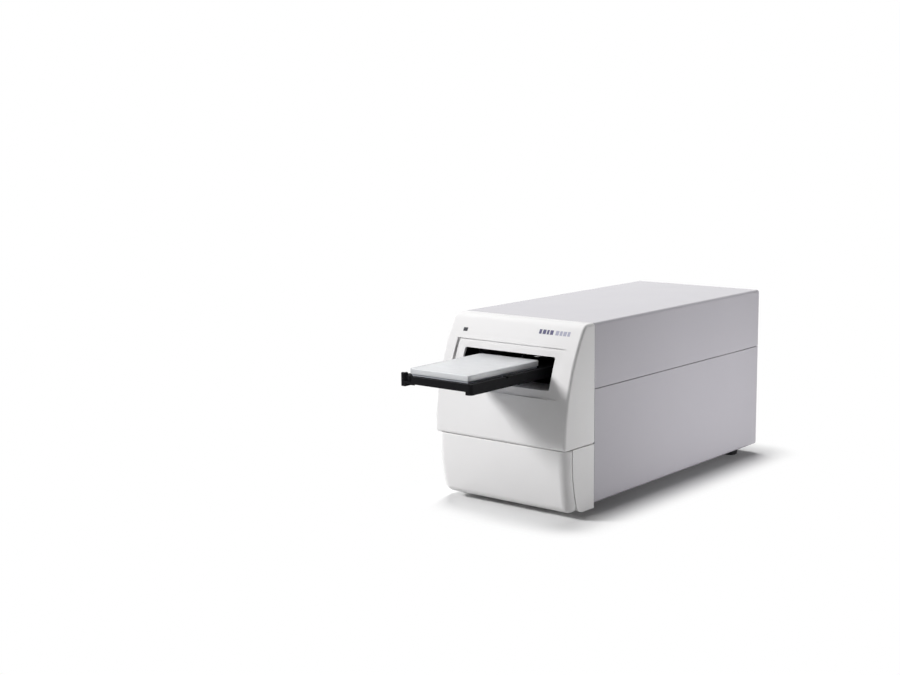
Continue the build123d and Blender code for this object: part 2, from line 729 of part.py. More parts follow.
def rear_panel():
    """Sheet-metal rear panel behind the covers' turned-in edge, with its cut-outs and vents."""
    y = (REAR_INNER_Y, REAR_FACE_Y)
    clear = FIT_GAP
    z = (FLOOR_Z + clear, TOP_Z - COVER_WALL - clear)
    panel = block(both_sides(INNER_HALF - clear), y, z)
    through = (REAR_INNER_Y - 1, REAR_FACE_Y + 1)
    panel -= bar_y(FAN_X, FAN_Z, FAN_BORE_R, through)
    panel -= block(span(INLET_X, INLET_WIDTH), through, span(INLET_Z, INLET_HEIGHT))
    panel -= block(span(INLET_X, FUSE_WIDTH), through, span(INLET_Z - FUSE_DROP, FUSE_HEIGHT))
    panel -= block(span(INLET_X, SWITCH_WIDTH), through, span(SWITCH_Z, SWITCH_HEIGHT))
    panel -= block(span(DATA_X, DATA_WIDTH), through, span(DATA_Z, DATA_HEIGHT))
    panel -= vent_slots(through)
    return panel - rear_screw_holes(SCREW_R, through)


def vent_slots(y):
    """Two rows of upright vent slots in the rear panel."""
    slots = []
    for row in range(2):
        z = TOP_Z - VENT_DROP - VENT_ROW * row
        for column in range(VENT_COLUMNS):
            x = VENT_PITCH * (column - (VENT_COLUMNS - 1) / 2)
            slots.append(block(span(x, VENT_WIDTH), y, span(z, VENT_LONG)))
    return slots


def span(middle, size):
    """A range of a size about its middle."""
    return (middle - size / 2, middle + size / 2)


# Plate carrier and what rides on it


def microplate():
    """Standard 96-well plate: flange, body and rows of round wells."""
    y = (PLATE_FRONT_Y, PLATE_END_Y)
    z = NEST_FLOOR_Z
    half = PLATE_WIDTH / 2
    flange = block(both_sides(half), y, (z, z + PLATE_FLANGE_H))
    inner = (y[0] + PLATE_FLANGE, y[1] - PLATE_FLANGE)
    body = block(both_sides(half - PLATE_FLANGE), inner, (z, z + PLATE_BODY_H))
    plate = fillet(flange.edges().filter_by(Axis.Z), PLATE_CORNER_R)
    plate += fillet(body.edges().filter_by(Axis.Z), PLATE_CORNER_R - PLATE_FLANGE)
    wells = GridLocations(WELL_PITCH, WELL_PITCH, WELL_ROWS, WELL_COLUMNS)
    depth = (z + PLATE_BODY_H - WELL_DEPTH, z + PLATE_BODY_H + 1)
    well = post(0, PLATE_MID_Y, WELL_R, depth)
    return plate - [place * well for place in wells]


def microplate_lid():
    """Shallow lid that covers the plate and hangs over its rim."""
    over = LID_WALL + LID_GAP
    half = PLATE_WIDTH / 2 - PLATE_FLANGE + over
    y = (PLATE_FRONT_Y + PLATE_FLANGE - over, PLATE_END_Y - PLATE_FLANGE + over)
    top = LID_TOP_Z
    lid = block(both_sides(half), y, (top - LID_HEIGHT, top))
    lid = fillet(lid.edges().filter_by(Axis.Z), PLATE_CORNER_R)
    lid = fillet(lid.faces().sort_by(Axis.Z)[-1].edges(), LID_TOP_R)
    inner_half = half - LID_WALL
    inner_y = (y[0] + LID_WALL, y[1] - LID_WALL)
    hollow = block(both_sides(inner_half), inner_y, (top - LID_HEIGHT - 1, NEST_FLOOR_Z + PLATE_BODY_H))
    return lid - fillet(hollow.edges().filter_by(Axis.Z), PLATE_CORNER_R - LID_WALL)


def plate_carrier():
    """Black carrier: open nest with a ledge for the plate, a low front bar and a tail over the sledge."""
    frame = block(both_sides(CARRIER_HALF), (-CARRIER_REACH, TAIL_END_Y), (CARRIER_BOTTOM_Z, RIM_Z))
    frame = fillet(frame.edges().filter_by(Axis.Z), CARRIER_CORNER_R)
    nest_y = (NEST_FRONT_Y, NEST_END_Y)
    nest = block(both_sides(NEST_HALF), nest_y, (NEST_FLOOR_Z, RIM_Z + 1))
    frame -= fillet(nest.edges().filter_by(Axis.Z), PLATE_CORNER_R - NEST_GAP)
    window_y = (NEST_FRONT_Y + NEST_LEDGE, NEST_END_Y - NEST_LEDGE)
    window = block(both_sides(NEST_HALF - NEST_LEDGE), window_y, (0, RIM_Z))
    frame -= fillet(window.edges().filter_by(Axis.Z), SLOT_CORNER_R)
    lug_half = CARRIER_HALF - 2 * LEVER_R
    under_bar = (-CARRIER_REACH - 1, NEST_FRONT_Y + NEST_LEDGE)
    frame -= block(both_sides(lug_half), under_bar, (0, FRONT_BAR_BOTTOM_Z))
    tail_y = (NEST_END_Y + FRONT_BAR, TAIL_END_Y + 1)
    over_tail = (CARRIER_BOTTOM_Z + TAIL_THICK, RIM_Z + 1)
    frame -= block(both_sides(CARRIER_HALF - CARRIER_SIDE), tail_y, over_tail)
    notch = span(-CARRIER_REACH + RIM_NOTCH_BACK, RIM_NOTCH)
    frame -= block(both_sides(CARRIER_HALF + 1), notch, (RIM_Z - RIM_NOTCH_DEPTH, RIM_Z + 1))
    return frame - lever_room() - carrier_screw_holes(SCREW_R + SCREW_CLEAR)


def lever_room():
    """The corner that is cut away for the lever, with the hole for its pin."""
    clear = LEVER_R + FIT_GAP
    over_seat = (LEVER_BOTTOM_Z - FIT_GAP, RIM_Z + 1)
    room = post(LEVER_X, LEVER_Y, clear, over_seat)
    x = (LEVER_X, LEVER_X + LEVER_R + LEVER_FINGER)
    path = block(x, (LEVER_Y - clear, NEST_FRONT_Y + 1), (LEVER_FINGER_Z - FIT_GAP, RIM_Z + 1))
    corner = block((LEVER_X - clear, LEVER_X), (LEVER_Y - clear, LEVER_Y), over_seat)
    hole = post(LEVER_X, LEVER_Y, LEVER_PIN_R, (0, RIM_Z + 1))
    return room + path + corner + hole


def clamp_lever():
    """Sprung lever that holds the plate's corner: a round hub with a finger along the front bar."""
    z = (LEVER_BOTTOM_Z, LEVER_TOP_Z)
    hub = post(LEVER_X, LEVER_Y, LEVER_R, z)
    hub = fillet(hub.edges().sort_by(Axis.Z)[-1], LEVER_TOP_R)
    finger_z = (LEVER_FINGER_Z, LEVER_TOP_Z - LEVER_FINGER_DROP)
    finger = block((LEVER_X, LEVER_X + LEVER_FINGER), span(LEVER_Y, LEVER_FINGER_THICK), finger_z)
    nose_r = PLATE_FRONT_Y - FIT_GAP - LEVER_Y
    finger += post(LEVER_X + LEVER_FINGER, LEVER_Y, nose_r, finger_z)
    seat_z = (LEVER_BOTTOM_Z, LEVER_BOTTOM_Z + spring_height())
    spring_seat = post(LEVER_X, LEVER_Y, LEVER_PIN_R + SPRING_ROOM, seat_z)
    return hub + finger - spring_seat - post(LEVER_X, LEVER_Y, LEVER_PIN_R + RUNNING, (0, z[1] + 1))


def spring_height():
    """Room for the coil under the lever."""
    return 2 * SPRING_WIRE_R * (SPRING_TURNS + 1)


def lever_pin():
    """Steel pin that the lever turns on, pressed into the carrier's corner."""
    return post(LEVER_X, LEVER_Y, LEVER_PIN_R, (CARRIER_BOTTOM_Z, LEVER_TOP_Z + LEVER_PIN_HEAD))


def clamp_spring():
    """Small tight-wound torsion coil round the lever's pin, standing on the carrier's corner."""
    inner = LEVER_PIN_R + SPRING_WIRE_R
    pitch = 2 * SPRING_WIRE_R
    low = LEVER_BOTTOM_Z - FIT_GAP
    coil = post(LEVER_X, LEVER_Y, inner + SPRING_WIRE_R, (low, low + pitch * SPRING_TURNS))
    for turn in range(SPRING_TURNS):
        z = (low + pitch * turn, low + pitch * turn + SPRING_WIRE_R)
        coil += post(LEVER_X, LEVER_Y, inner + pitch, z)
    return coil - post(LEVER_X, LEVER_Y, inner, (low - 1, LEVER_TOP_Z))


def sledge_bores(radius, y):
    """Bores along both guide rods."""
    return [bar_y(x, ROD_Z, radius, y) for x in both_sides(ROD_X)]


def carrier_sledge():
    """Aluminium sledge: two bushing blocks joined by a bridge under the carrier's tail."""
    y = (SLEDGE_FRONT_Y, SLEDGE_END_Y)
    blocks = []
    for x in both_sides(ROD_X):
        body = block(span(x, SLEDGE_WIDTH), y, (ROD_Z - SLEDGE_WIDTH / 2 + 1, CARRIER_BOTTOM_Z))
        blocks.append(fillet(body.edges().filter_by(Axis.Y).sort_by(Axis.Z)[:2], SLEDGE_R))
    bridge = block(both_sides(ROD_X), y, (CARRIER_BOTTOM_Z - SLEDGE_BRIDGE, CARRIER_BOTTOM_Z))
    sledge = bridge + blocks
    sledge -= block(span(0, SLEDGE_WINDOW), span(sum(y) / 2, SLEDGE_LENGTH / 2), (0, RIM_Z))
    return sledge - sledge_bores(BUSHING_R, (y[0] - 1, y[1] + 1)) - carrier_screw_holes(SCREW_R)


def bushings():
    """Plain bushings in both ends of each sledge bore."""
    rings = []
    for x in both_sides(ROD_X):
        for start in (SLEDGE_FRONT_Y, SLEDGE_END_Y - BUSHING_LENGTH):
            ring = bar_y(x, ROD_Z, BUSHING_R, (start, start + BUSHING_LENGTH))
            rings.append(ring - bar_y(x, ROD_Z, ROD_R + RUNNING, (start - 1, start + BUSHING_LENGTH + 1)))
    return rings


def carrier_screw_spots():
    """Where the carrier is screwed to the sledge: (x, y) of each screw."""
    ys = (SLEDGE_FRONT_Y + CARRIER_SCREW_END, SLEDGE_END_Y - CARRIER_SCREW_END)
    return [(x, y) for x in both_sides(ROD_X - CARRIER_SCREW_IN) for y in ys]


def carrier_screw_holes(radius):
    """Holes for the carrier's screws."""
    z = (CARRIER_BOTTOM_Z - SLEDGE_BRIDGE, RIM_Z + 1)
    return [post(x, y, radius, z) for x, y in carrier_screw_spots()]


def carrier_screws():
    """Screws through the carrier's tail into the sledge."""
    screws = []
    for x, y in carrier_screw_spots():
        seat = CARRIER_BOTTOM_Z + TAIL_THICK
        head = post(x, y, SCREW_HEAD_R, (seat, seat + SCREW_HEAD))
        screws.append(head + post(x, y, SCREW_R, (CARRIER_BOTTOM_Z - SLEDGE_BRIDGE, seat)))
    return screws


def belt_clamp():
    """Clamp on the sledge's side that grips the belt's inner run."""
    run_x = BELT_X - BELT_IN_R - BELT_THICK / 2
    y = (CLAMP_FRONT_Y, CLAMP_END_Y)
    x = (ROD_X + SLEDGE_WIDTH / 2, run_x + BELT_THICK / 2 + CLAMP_SLOT_GAP + CLAMP_BACK)
    z = (BELT_Z - BELT_WIDTH / 2 - CLAMP_LOW, BELT_Z + BELT_WIDTH / 2 + CLAMP_HIGH)
    body = block(x, y, z)
    slot_z = (z[0] - 1, BELT_Z + BELT_WIDTH / 2 + CLAMP_SLOT_GAP)
    return body - block(span(run_x, BELT_THICK + 2 * CLAMP_SLOT_GAP), (y[0] - 1, y[1] + 1), slot_z)


def sensor_flag():
    """Thin flag on the sledge's other side that passes through the home sensor."""
    x = span(SENSOR_X, 1)
    y = span(SLEDGE_FRONT_Y + SENSOR_LENGTH / 2 + 1, FLAG_LENGTH)
    top = CARRIER_BOTTOM_Z - 1
    arm = block((x[0], -ROD_X - SLEDGE_WIDTH / 2), y, (top - FLAG_THICK, top))
    return arm + block(x, y, (SENSOR_TOP_Z - SENSOR_SLOT + 1, top))


# Fixed transport parts


def home_sensor():
    """Slotted optical sensor on the deck that marks the carrier's outer end."""
    y = (SLEDGE_FRONT_Y + 1, SLEDGE_FRONT_Y + 1 + SENSOR_LENGTH)
    body = block(span(SENSOR_X, SENSOR_WIDTH), y, (DECK_TOP_Z, SENSOR_TOP_Z))
    gap = SENSOR_WIDTH - 2 * SENSOR_ARM
    z = (SENSOR_TOP_Z - SENSOR_SLOT, SENSOR_TOP_Z + 1)
    return body - block(span(SENSOR_X, gap), (y[0] - 1, y[1] + 1), z)


def transport_deck():
    """Deck plate over the base that carries rods, optics and the belt drive."""
    deck = block(both_sides(DECK_HALF_WIDTH), (DECK_FRONT_Y, DECK_END_Y), (DECK_BOTTOM_Z, DECK_TOP_Z))
    deck = fillet(deck.edges().filter_by(Axis.Z), DECK_CORNER_R)
    through = (DECK_BOTTOM_Z - 1, DECK_TOP_Z + 1)
    deck -= post(0, BEAM_Y, GUIDE_R + FIT_GAP, through)
    deck -= post(BELT_X, DRIVE_Y, MOTOR_BOSS_R + FIT_GAP, through)
    deck -= post(BELT_X, IDLER_Y, SHAFT_R, through)
    window_y = (BEAM_Y + DECK_WINDOW_END, DECK_END_Y - DECK_WINDOW_END)
    window = block(span(0, DECK_WINDOW), window_y, through)
    deck -= fillet(window.edges().filter_by(Axis.Z), DECK_WINDOW_R)
    return deck - [post(x, y, SCREW_R, through) for x, y in deck_screw_spots()]


def deck_screw_spots():
    """Where the deck is screwed to its legs: (x, y) of each screw."""
    x = DECK_HALF_WIDTH - LEG_INSET - LEG_THICK - LEG_FLANGE / 2
    ys = (LEG_FRONT_Y + LEG_SCREW_INSET, LEG_END_Y - LEG_SCREW_INSET)
    return [(side, y) for side in both_sides(x) for y in ys]


def deck_legs():
    """Folded steel legs between the base plate and the deck, one on each side."""
    legs = []
    x_out = DECK_HALF_WIDTH - LEG_INSET
    y = (LEG_FRONT_Y, LEG_END_Y)
    for side in (-1, 1):
        web_x = sorted((side * x_out, side * (x_out - LEG_THICK)))
        web = block(web_x, y, (BASE_TOP_Z, DECK_BOTTOM_Z))
        foot_x = sorted((side * x_out, side * (x_out - LEG_THICK - LEG_FLANGE)))
        foot = block(foot_x, y, (BASE_TOP_Z, BASE_TOP_Z + LEG_THICK))
        head = block(foot_x, y, (DECK_BOTTOM_Z - LEG_THICK, DECK_BOTTOM_Z))
        legs.append(web + foot + head)
    screw_z = (DECK_BOTTOM_Z - LEG_THICK - 1, DECK_BOTTOM_Z + 1)
    holes = [post(x, y, SCREW_R, screw_z) for x, y in deck_screw_spots()]
    return [leg - holes for leg in legs]


def deck_screws():
    """Screws through the deck into its legs."""
    screws = []
    for x, y in deck_screw_spots():
        head = post(x, y, SCREW_HEAD_R, (DECK_TOP_Z, DECK_TOP_Z + SCREW_HEAD))
        screws.append(head + post(x, y, SCREW_R, (DECK_BOTTOM_Z - LEG_THICK, DECK_TOP_Z)))
    return screws


def guide_rods():
    """Two ground steel rods that the sledge runs on."""
    y = (ROD_BLOCK_FRONT_Y, ROD_END_Y)
    return [bar_y(x, ROD_Z, ROD_R, y) for x in both_sides(ROD_X)]


def rod_blocks():
    """Blocks that hold the rods' ends on the deck."""
    top = ROD_Z + ROD_R + ROD_BLOCK_OVER
    blocks = []
    for x in both_sides(ROD_X):
        for start in (ROD_BLOCK_FRONT_Y, ROD_END_Y - ROD_BLOCK):
            body = block(span(x, ROD_BLOCK_WIDTH), (start, start + ROD_BLOCK), (DECK_TOP_Z, top))
            body = fillet(body.edges().filter_by(Axis.Y).sort_by(Axis.Z)[-2:], ROD_BLOCK_R)
            blocks.append(body - bar_y(x, ROD_Z, ROD_R, (start - 1, start + ROD_BLOCK + 1)))
    return blocks


def belt_loop(radius, z):
    """A racetrack about both pulleys."""
    middle = (DRIVE_Y + IDLER_Y) / 2
    outline = SlotCenterToCenter(DRIVE_Y - IDLER_Y, 2 * radius, rotation=90)
    return Pos(BELT_X, middle, z[0]) * extrude(outline, z[1] - z[0])


def transport_belt():
    """Toothed drive belt, drawn as a plain band."""
    z = span(BELT_Z, BELT_WIDTH)
    return belt_loop(BELT_OUT_R, z) - belt_loop(BELT_IN_R, (z[0] - 1, z[1] + 1))


def flanged_roll(y, teeth):
    """A belt pulley about an upright axis, with flanges above and below its rim."""
    rim = span(BELT_Z, BELT_WIDTH + 2 * BELT_SIDE_GAP)
    wheel = post(BELT_X, y, PULLEY_R, rim)
    if teeth:
        groove = post(PULLEY_R, 0, TOOTH_GROOVE_R, (rim[0] - 1, rim[1] + 1))
        wheel -= [Pos(BELT_X, y, 0) * Rot(0, 0, 360 * n / teeth) * groove for n in range(teeth)]
    for edge in (rim[0] - PULLEY_FLANGE_THICK, rim[1]):
        wheel += post(BELT_X, y, FLANGE_R, (edge, edge + PULLEY_FLANGE_THICK))
    return wheel


def drive_pulley():
    """Toothed pulley pressed on the motor's shaft."""
    return flanged_roll(DRIVE_Y, PULLEY_TEETH) - post(BELT_X, DRIVE_Y, SHAFT_R, (0, TOP_Z))


def motor_shaft():
    """Shaft of the transport motor, through the deck into the pulley."""
    clear = SHAFT_R + RUNNING
    foot = DECK_BOTTOM_Z - MOTOR_LENGTH / 2
    return post(BELT_X, DRIVE_Y, SHAFT_R, (foot + clear - SHAFT_R, BELT_Z + BELT_WIDTH))


def transport_motor():
    """Square stepper motor under the deck, bored for its shaft."""
    z = (DECK_BOTTOM_Z - MOTOR_LENGTH, DECK_BOTTOM_Z)
    body = block(span(BELT_X, MOTOR_SIDE), span(DRIVE_Y, MOTOR_SIDE), z)
    body = chamfer(body.edges().filter_by(Axis.Z), MOTOR_CORNER)
    body += post(BELT_X, DRIVE_Y, MOTOR_BOSS_R, (z[1], z[1] + MOTOR_BOSS))
    return body - post(BELT_X, DRIVE_Y, SHAFT_R + RUNNING, (z[1] - MOTOR_LENGTH / 2, DECK_TOP_Z + MOTOR_BOSS))


def idler_pulley():
    """Smooth idler pulley at the belt's front end."""
    return flanged_roll(IDLER_Y, 0) - post(BELT_X, IDLER_Y, SHAFT_R + RUNNING, (0, TOP_Z))


def idler_pin():
    """Pin through the deck that the idler turns on, with a collar below and a head above."""
    low, high = span(BELT_Z, BELT_WIDTH + 2 * (BELT_SIDE_GAP + PULLEY_FLANGE_THICK + FIT_GAP))
    pin = post(BELT_X, IDLER_Y, SHAFT_R, (DECK_BOTTOM_Z, high))
    pin += post(BELT_X, IDLER_Y, PIN_COLLAR_R, (DECK_TOP_Z, low))
    return pin + post(BELT_X, IDLER_Y, PIN_COLLAR_R, (high, high + PIN_HEAD))


# Optics


def beam_places():
    """X of each of the eight measuring beams."""
    return [WELL_PITCH * (n - (BEAM_COUNT - 1) / 2) for n in range(BEAM_COUNT)]


def lower_optics_bar():
    """Block with eight upright channels fed by the light guide."""
    y = span(BEAM_Y, LOWER_BAR_DEPTH)
    bar = block(both_sides(LOWER_BAR_WIDTH / 2), y, (DECK_TOP_Z, LOWER_BAR_TOP_Z))
    bar = fillet(bar.edges().filter_by(Axis.Z), OPTICS_EDGE_R)
    seat = (LOWER_BAR_TOP_Z - BEAM_LENS_THICK, LOWER_BAR_TOP_Z + 1)
    return bar - [post(x, BEAM_Y, BEAM_LENS_R, seat) for x in beam_places()]


def beam_lenses():
    """Eight small lenses flush with the lower bar's top."""
    z = (LOWER_BAR_TOP_Z - BEAM_LENS_THICK, LOWER_BAR_TOP_Z)
    return [post(x, BEAM_Y, BEAM_LENS_R, z) for x in beam_places()]


def upper_optics_bar():
    """Detector block over the plate's path, bored above each beam."""
    z = (UPPER_BAR_BOTTOM_Z, BRIDGE_TOP_Z - BRIDGE_THICK)
    bar = block(both_sides(UPPER_BAR_WIDTH / 2), span(BEAM_Y, UPPER_BAR_DEPTH), z)
    bar = fillet(bar.edges().filter_by(Axis.Z), OPTICS_EDGE_R)
    return bar - [post(x, BEAM_Y, BEAM_LENS_R, (z[0] - 1, z[1] - DETECTOR_SEAT)) for x in beam_places()]


def optics_bridge():
    """Bracket that holds the detector block over the transport, with a leg on each side."""
    leg_out = BRIDGE_LEG_X + BRIDGE_LEG_THICK / 2
    y = span(BEAM_Y, BRIDGE_DEPTH)
    bridge = block(both_sides(leg_out), y, (DECK_TOP_Z, BRIDGE_TOP_Z))
    inner = leg_out - BRIDGE_LEG_THICK
    return bridge - block(both_sides(inner), (0, 2 * BEAM_Y), (0, BRIDGE_TOP_Z - BRIDGE_THICK))


def detector_board():
    """Circuit board on the bridge with one amplifier for each beam."""
    z = (BRIDGE_TOP_Z, BRIDGE_TOP_Z + BOARD_THICK)
    board = block(both_sides(DETECTOR_BOARD_WIDTH / 2), span(BEAM_Y, DETECTOR_BOARD_DEPTH), z)
    chip_z = (z[1], z[1] + AMPLIFIER_THICK)
    chips = [block(span(x, AMPLIFIER), span(BEAM_Y, AMPLIFIER_LONG), chip_z) for x in beam_places()]
    plug_x = span(DETECTOR_BOARD_WIDTH / 2 - HEADER_INSET, HEADER_LONG)
    plug_y = span(BEAM_Y + DETECTOR_BOARD_DEPTH / 2 - HEADER_DEEP, HEADER_DEEP)
    return board + chips + block(plug_x, plug_y, (z[1], z[1] + HEADER_TALL))


def light_guide():
    """Fibre bundle from the filter unit up to the lower optics bar."""
    start = (0, FILTER_BRACKET_Y, AXIS_Z)
    bend_start = (0, BEAM_Y + GUIDE_BEND_R, AXIS_Z)
    bend_mid = (0, BEAM_Y + GUIDE_BEND_R * (1 - sin(pi / 4)), AXIS_Z + GUIDE_BEND_R * (1 - cos(pi / 4)))
    bend_end = (0, BEAM_Y, AXIS_Z + GUIDE_BEND_R)
    end = (0, BEAM_Y, DECK_TOP_Z)
    path = Line(start, bend_start) + ThreePointArc(bend_start, bend_mid, bend_end) + Line(bend_end, end)
    return sweep(Plane(start, z_dir=(0, -1, 0)) * Circle(GUIDE_R), path=path)


def wheel_places():
    """The filters' places on the wheel, as turns about its axis."""
    return [Pos(WHEEL_X, 0, AXIS_Z) * Rot(0, 360 * n / FILTER_COUNT, 0) for n in range(FILTER_COUNT)]


def filter_wheel():
    """Filter wheel with a hub and eight filter seats."""
    y = (WHEEL_Y, WHEEL_Y + WHEEL_THICK)
    wheel = bar_y(WHEEL_X, AXIS_Z, WHEEL_R, y)
    hub_y = (FILTER_BRACKET_Y + FILTER_BRACKET_THICK + FIT_GAP, WHEEL_Y)
    wheel += bar_y(WHEEL_X, AXIS_Z, WHEEL_HUB_R, hub_y)
    wheel += bar_y(WHEEL_X, AXIS_Z, SHAFT_R, (FILTER_BRACKET_Y - FILTER_MOTOR_LENGTH / 2, WHEEL_Y))
    seat = bar_y(-FILTER_CIRCLE_R, 0, FILTER_R, (y[0] + FILTER_SEAT, y[1] + 1))
    light = bar_y(-FILTER_CIRCLE_R, 0, FILTER_R - FILTER_SEAT, (y[0] - 1, y[1] + 1))
    return wheel - [place * hole for place in wheel_places() for hole in (seat, light)]


def optical_filters():
    """Round filters in the wheel's seats."""
    y = (WHEEL_Y + FILTER_SEAT, WHEEL_Y + WHEEL_THICK - FILTER_SEAT)
    return [place * bar_y(-FILTER_CIRCLE_R, 0, FILTER_R, y) for place in wheel_places()]


def filter_bracket():
    """Upright bracket between the filter motor and the wheel, with a foot on the base plate."""
    y = (FILTER_BRACKET_Y, FILTER_BRACKET_Y + FILTER_BRACKET_THICK)
    x = (-4 * GUIDE_R, WHEEL_X + MOTOR_SIDE / 2 + FILTER_BRACKET_EDGE)
    plate = block(x, y, (BASE_TOP_Z, AXIS_Z + MOTOR_SIDE / 2 + FILTER_BRACKET_EDGE))
    foot_y = (y[0] - FILTER_BRACKET_FOOT, y[0])
    plate += block(x, foot_y, (BASE_TOP_Z, BASE_TOP_Z + FILTER_BRACKET_THICK))
    plate -= bar_y(0, AXIS_Z, FILTER_R, (y[0] - 1, y[1] + 1))
    return plate - bar_y(WHEEL_X, AXIS_Z, SHAFT_R + RUNNING, (y[0] - 1, y[1] + 1))


def filter_motor():
    """Square stepper motor that turns the filter wheel."""
    y = (FILTER_BRACKET_Y - FILTER_MOTOR_LENGTH, FILTER_BRACKET_Y)
    body = block(span(WHEEL_X, MOTOR_SIDE), y, span(AXIS_Z, MOTOR_SIDE))
    body = chamfer(body.edges().filter_by(Axis.Y), MOTOR_CORNER)
    return body - bar_y(WHEEL_X, AXIS_Z, SHAFT_R + RUNNING, (y[1] - FILTER_MOTOR_LENGTH / 2, y[1] + 1))


def lamp_housing():
    """Finned lamp housing with an open top and a lens port on the optical axis."""
    y = (LAMP_FRONT_Y, LAMP_FRONT_Y + LAMP_LENGTH)
    low = AXIS_Z - LAMP_SIDE / 2
    body = block(both_sides(LAMP_SIDE / 2), y, (low, low + LAMP_SIDE))
    inner_y = (y[0] + LAMP_WALL + LENS_THICK, y[1] - LAMP_WALL)
    body -= block(both_sides(LAMP_SIDE / 2 - LAMP_WALL), inner_y, (low + LAMP_WALL, low + LAMP_SIDE + 1))
    body -= bar_y(0, AXIS_Z, LENS_R, (y[0] + LAMP_WALL, y[1] - LAMP_WALL))
    body -= bar_y(0, AXIS_Z, LENS_R - LENS_LIP, (y[0] - 1, y[1] - LAMP_WALL))
    body += block(both_sides(LAMP_SIDE / 4), inner_y, (BASE_TOP_Z, low))
    pitch = LAMP_LENGTH / (LAMP_FIN_COUNT + 1)
    for n in range(LAMP_FIN_COUNT):
        fin_y = span(y[0] + pitch * (n + 1), LAMP_FIN_THICK)
        body += block((-LAMP_SIDE / 2 - LAMP_FIN, -LAMP_SIDE / 2), fin_y, (low, low + LAMP_SIDE))
    return body


def halogen_lamp():
    """Halogen lamp: glass envelope in front of a dished reflector with a ceramic base."""
    back = LAMP_FRONT_Y + LAMP_LENGTH - LAMP_WALL
    mouth = LAMP_FRONT_Y + LAMP_WALL + LENS_THICK + REFLECTOR_GAP
    waist = (back + mouth) / 2
    dish = bar_cone(REFLECTOR_R, REFLECTOR_R / 2, (mouth, waist))
    bowl = (REFLECTOR_R - REFLECTOR_WALL, REFLECTOR_R / 2 - REFLECTOR_WALL)
    dish -= bar_cone(*bowl, (mouth - NEAR, waist - 1))
    base = bar_y(0, AXIS_Z, REFLECTOR_R / 2, (waist, back))
    bulb = bar_y(0, AXIS_Z, LAMP_BULB_R, (mouth + BULB_SET_BACK, waist))
    return dish + base + bulb


def bar_cone(front_r, back_r, y):
    """A cone along Y on the optical axis, with its two end radii."""
    return Pos(0, sum(y) / 2, AXIS_Z) * Rot(90, 0, 0) * Cone(back_r, front_r, y[1] - y[0])


def condenser_lens():
    """Lens in the lamp housing's front wall."""
    y = (LAMP_FRONT_Y + LAMP_WALL, LAMP_FRONT_Y + LAMP_WALL + LENS_THICK)
    lens = bar_y(0, AXIS_Z, LENS_R, y)
    return fillet(lens.edges().sort_by(Axis.Y)[-1], LENS_EDGE_R)


# Boards, supply and rear fittings


def board_holes():
    """Where the main board stands on its posts: (x, y) of each."""
    inset = BOARD_HOLE_INSET
    x = (MAIN_BOARD_X + inset, MAIN_BOARD_X + MAIN_BOARD_WIDTH - inset)
    y = (MAIN_BOARD_FRONT_Y + inset, MAIN_BOARD_FRONT_Y + MAIN_BOARD_LENGTH - inset)
    return [(a, b) for a in x for b in y]


def main_board():
    """Controller board with its chips and headers."""
    z = BASE_TOP_Z + STANDOFF
    top = z + BOARD_THICK
    x = (MAIN_BOARD_X, MAIN_BOARD_X + MAIN_BOARD_WIDTH)
    y0 = MAIN_BOARD_FRONT_Y
    board = block(x, (y0, y0 + MAIN_BOARD_LENGTH), (z, top))
    middle = MAIN_BOARD_X + MAIN_BOARD_WIDTH / 2
    chip_z = (top, top + PROCESSOR_THICK)
    board += block(span(middle, PROCESSOR), span(y0 + PROCESSOR_Y, PROCESSOR), chip_z)
    for n in (-1, 0, 1):
        x = span(middle + n * MEMORY_PITCH, MEMORY)
        board += block(x, span(y0 + MEMORY_Y, MEMORY_LONG), (top, top + MEMORY_THICK))
    plug_y = y0 + MAIN_BOARD_LENGTH - BOARD_PLUG_END
    for n in range(2):
        y = span(plug_y - n * BOARD_PLUG_PITCH, BOARD_PLUG_DEEP)
        board += block(span(middle, BOARD_PLUG), y, (top, top + BOARD_PLUG_TALL))
    return board


def board_standoffs():
    """Posts under the main board."""
    z = (BASE_TOP_Z, BASE_TOP_Z + STANDOFF)
    return [post(x, y, STANDOFF_R, z) for x, y in board_holes()]


def power_supply():
    """Enclosed power supply with a folded, slotted lid."""
    z = (BASE_TOP_Z, BASE_TOP_Z + SUPPLY_HEIGHT)
    x = (SUPPLY_X, SUPPLY_X + SUPPLY_WIDTH)
    case = block(x, (SUPPLY_FRONT_Y, SUPPLY_FRONT_Y + SUPPLY_LENGTH), z)
    case = fillet(case.edges().filter_by(Axis.Y).sort_by(Axis.Z)[-2:], SUPPLY_EDGE_R)
    slot_x = (x[0] + SUPPLY_SLOT_SIDE, x[1] - SUPPLY_SLOT_SIDE)
    for n in range(SUPPLY_SLOTS):
        slot_y = span(SUPPLY_FRONT_Y + SUPPLY_LENGTH * (n + 1) / (SUPPLY_SLOTS + 1), SUPPLY_SLOT)
        case -= block(slot_x, slot_y, (z[1] - SUPPLY_SLOT_DEPTH, z[1] + 1))
    return case


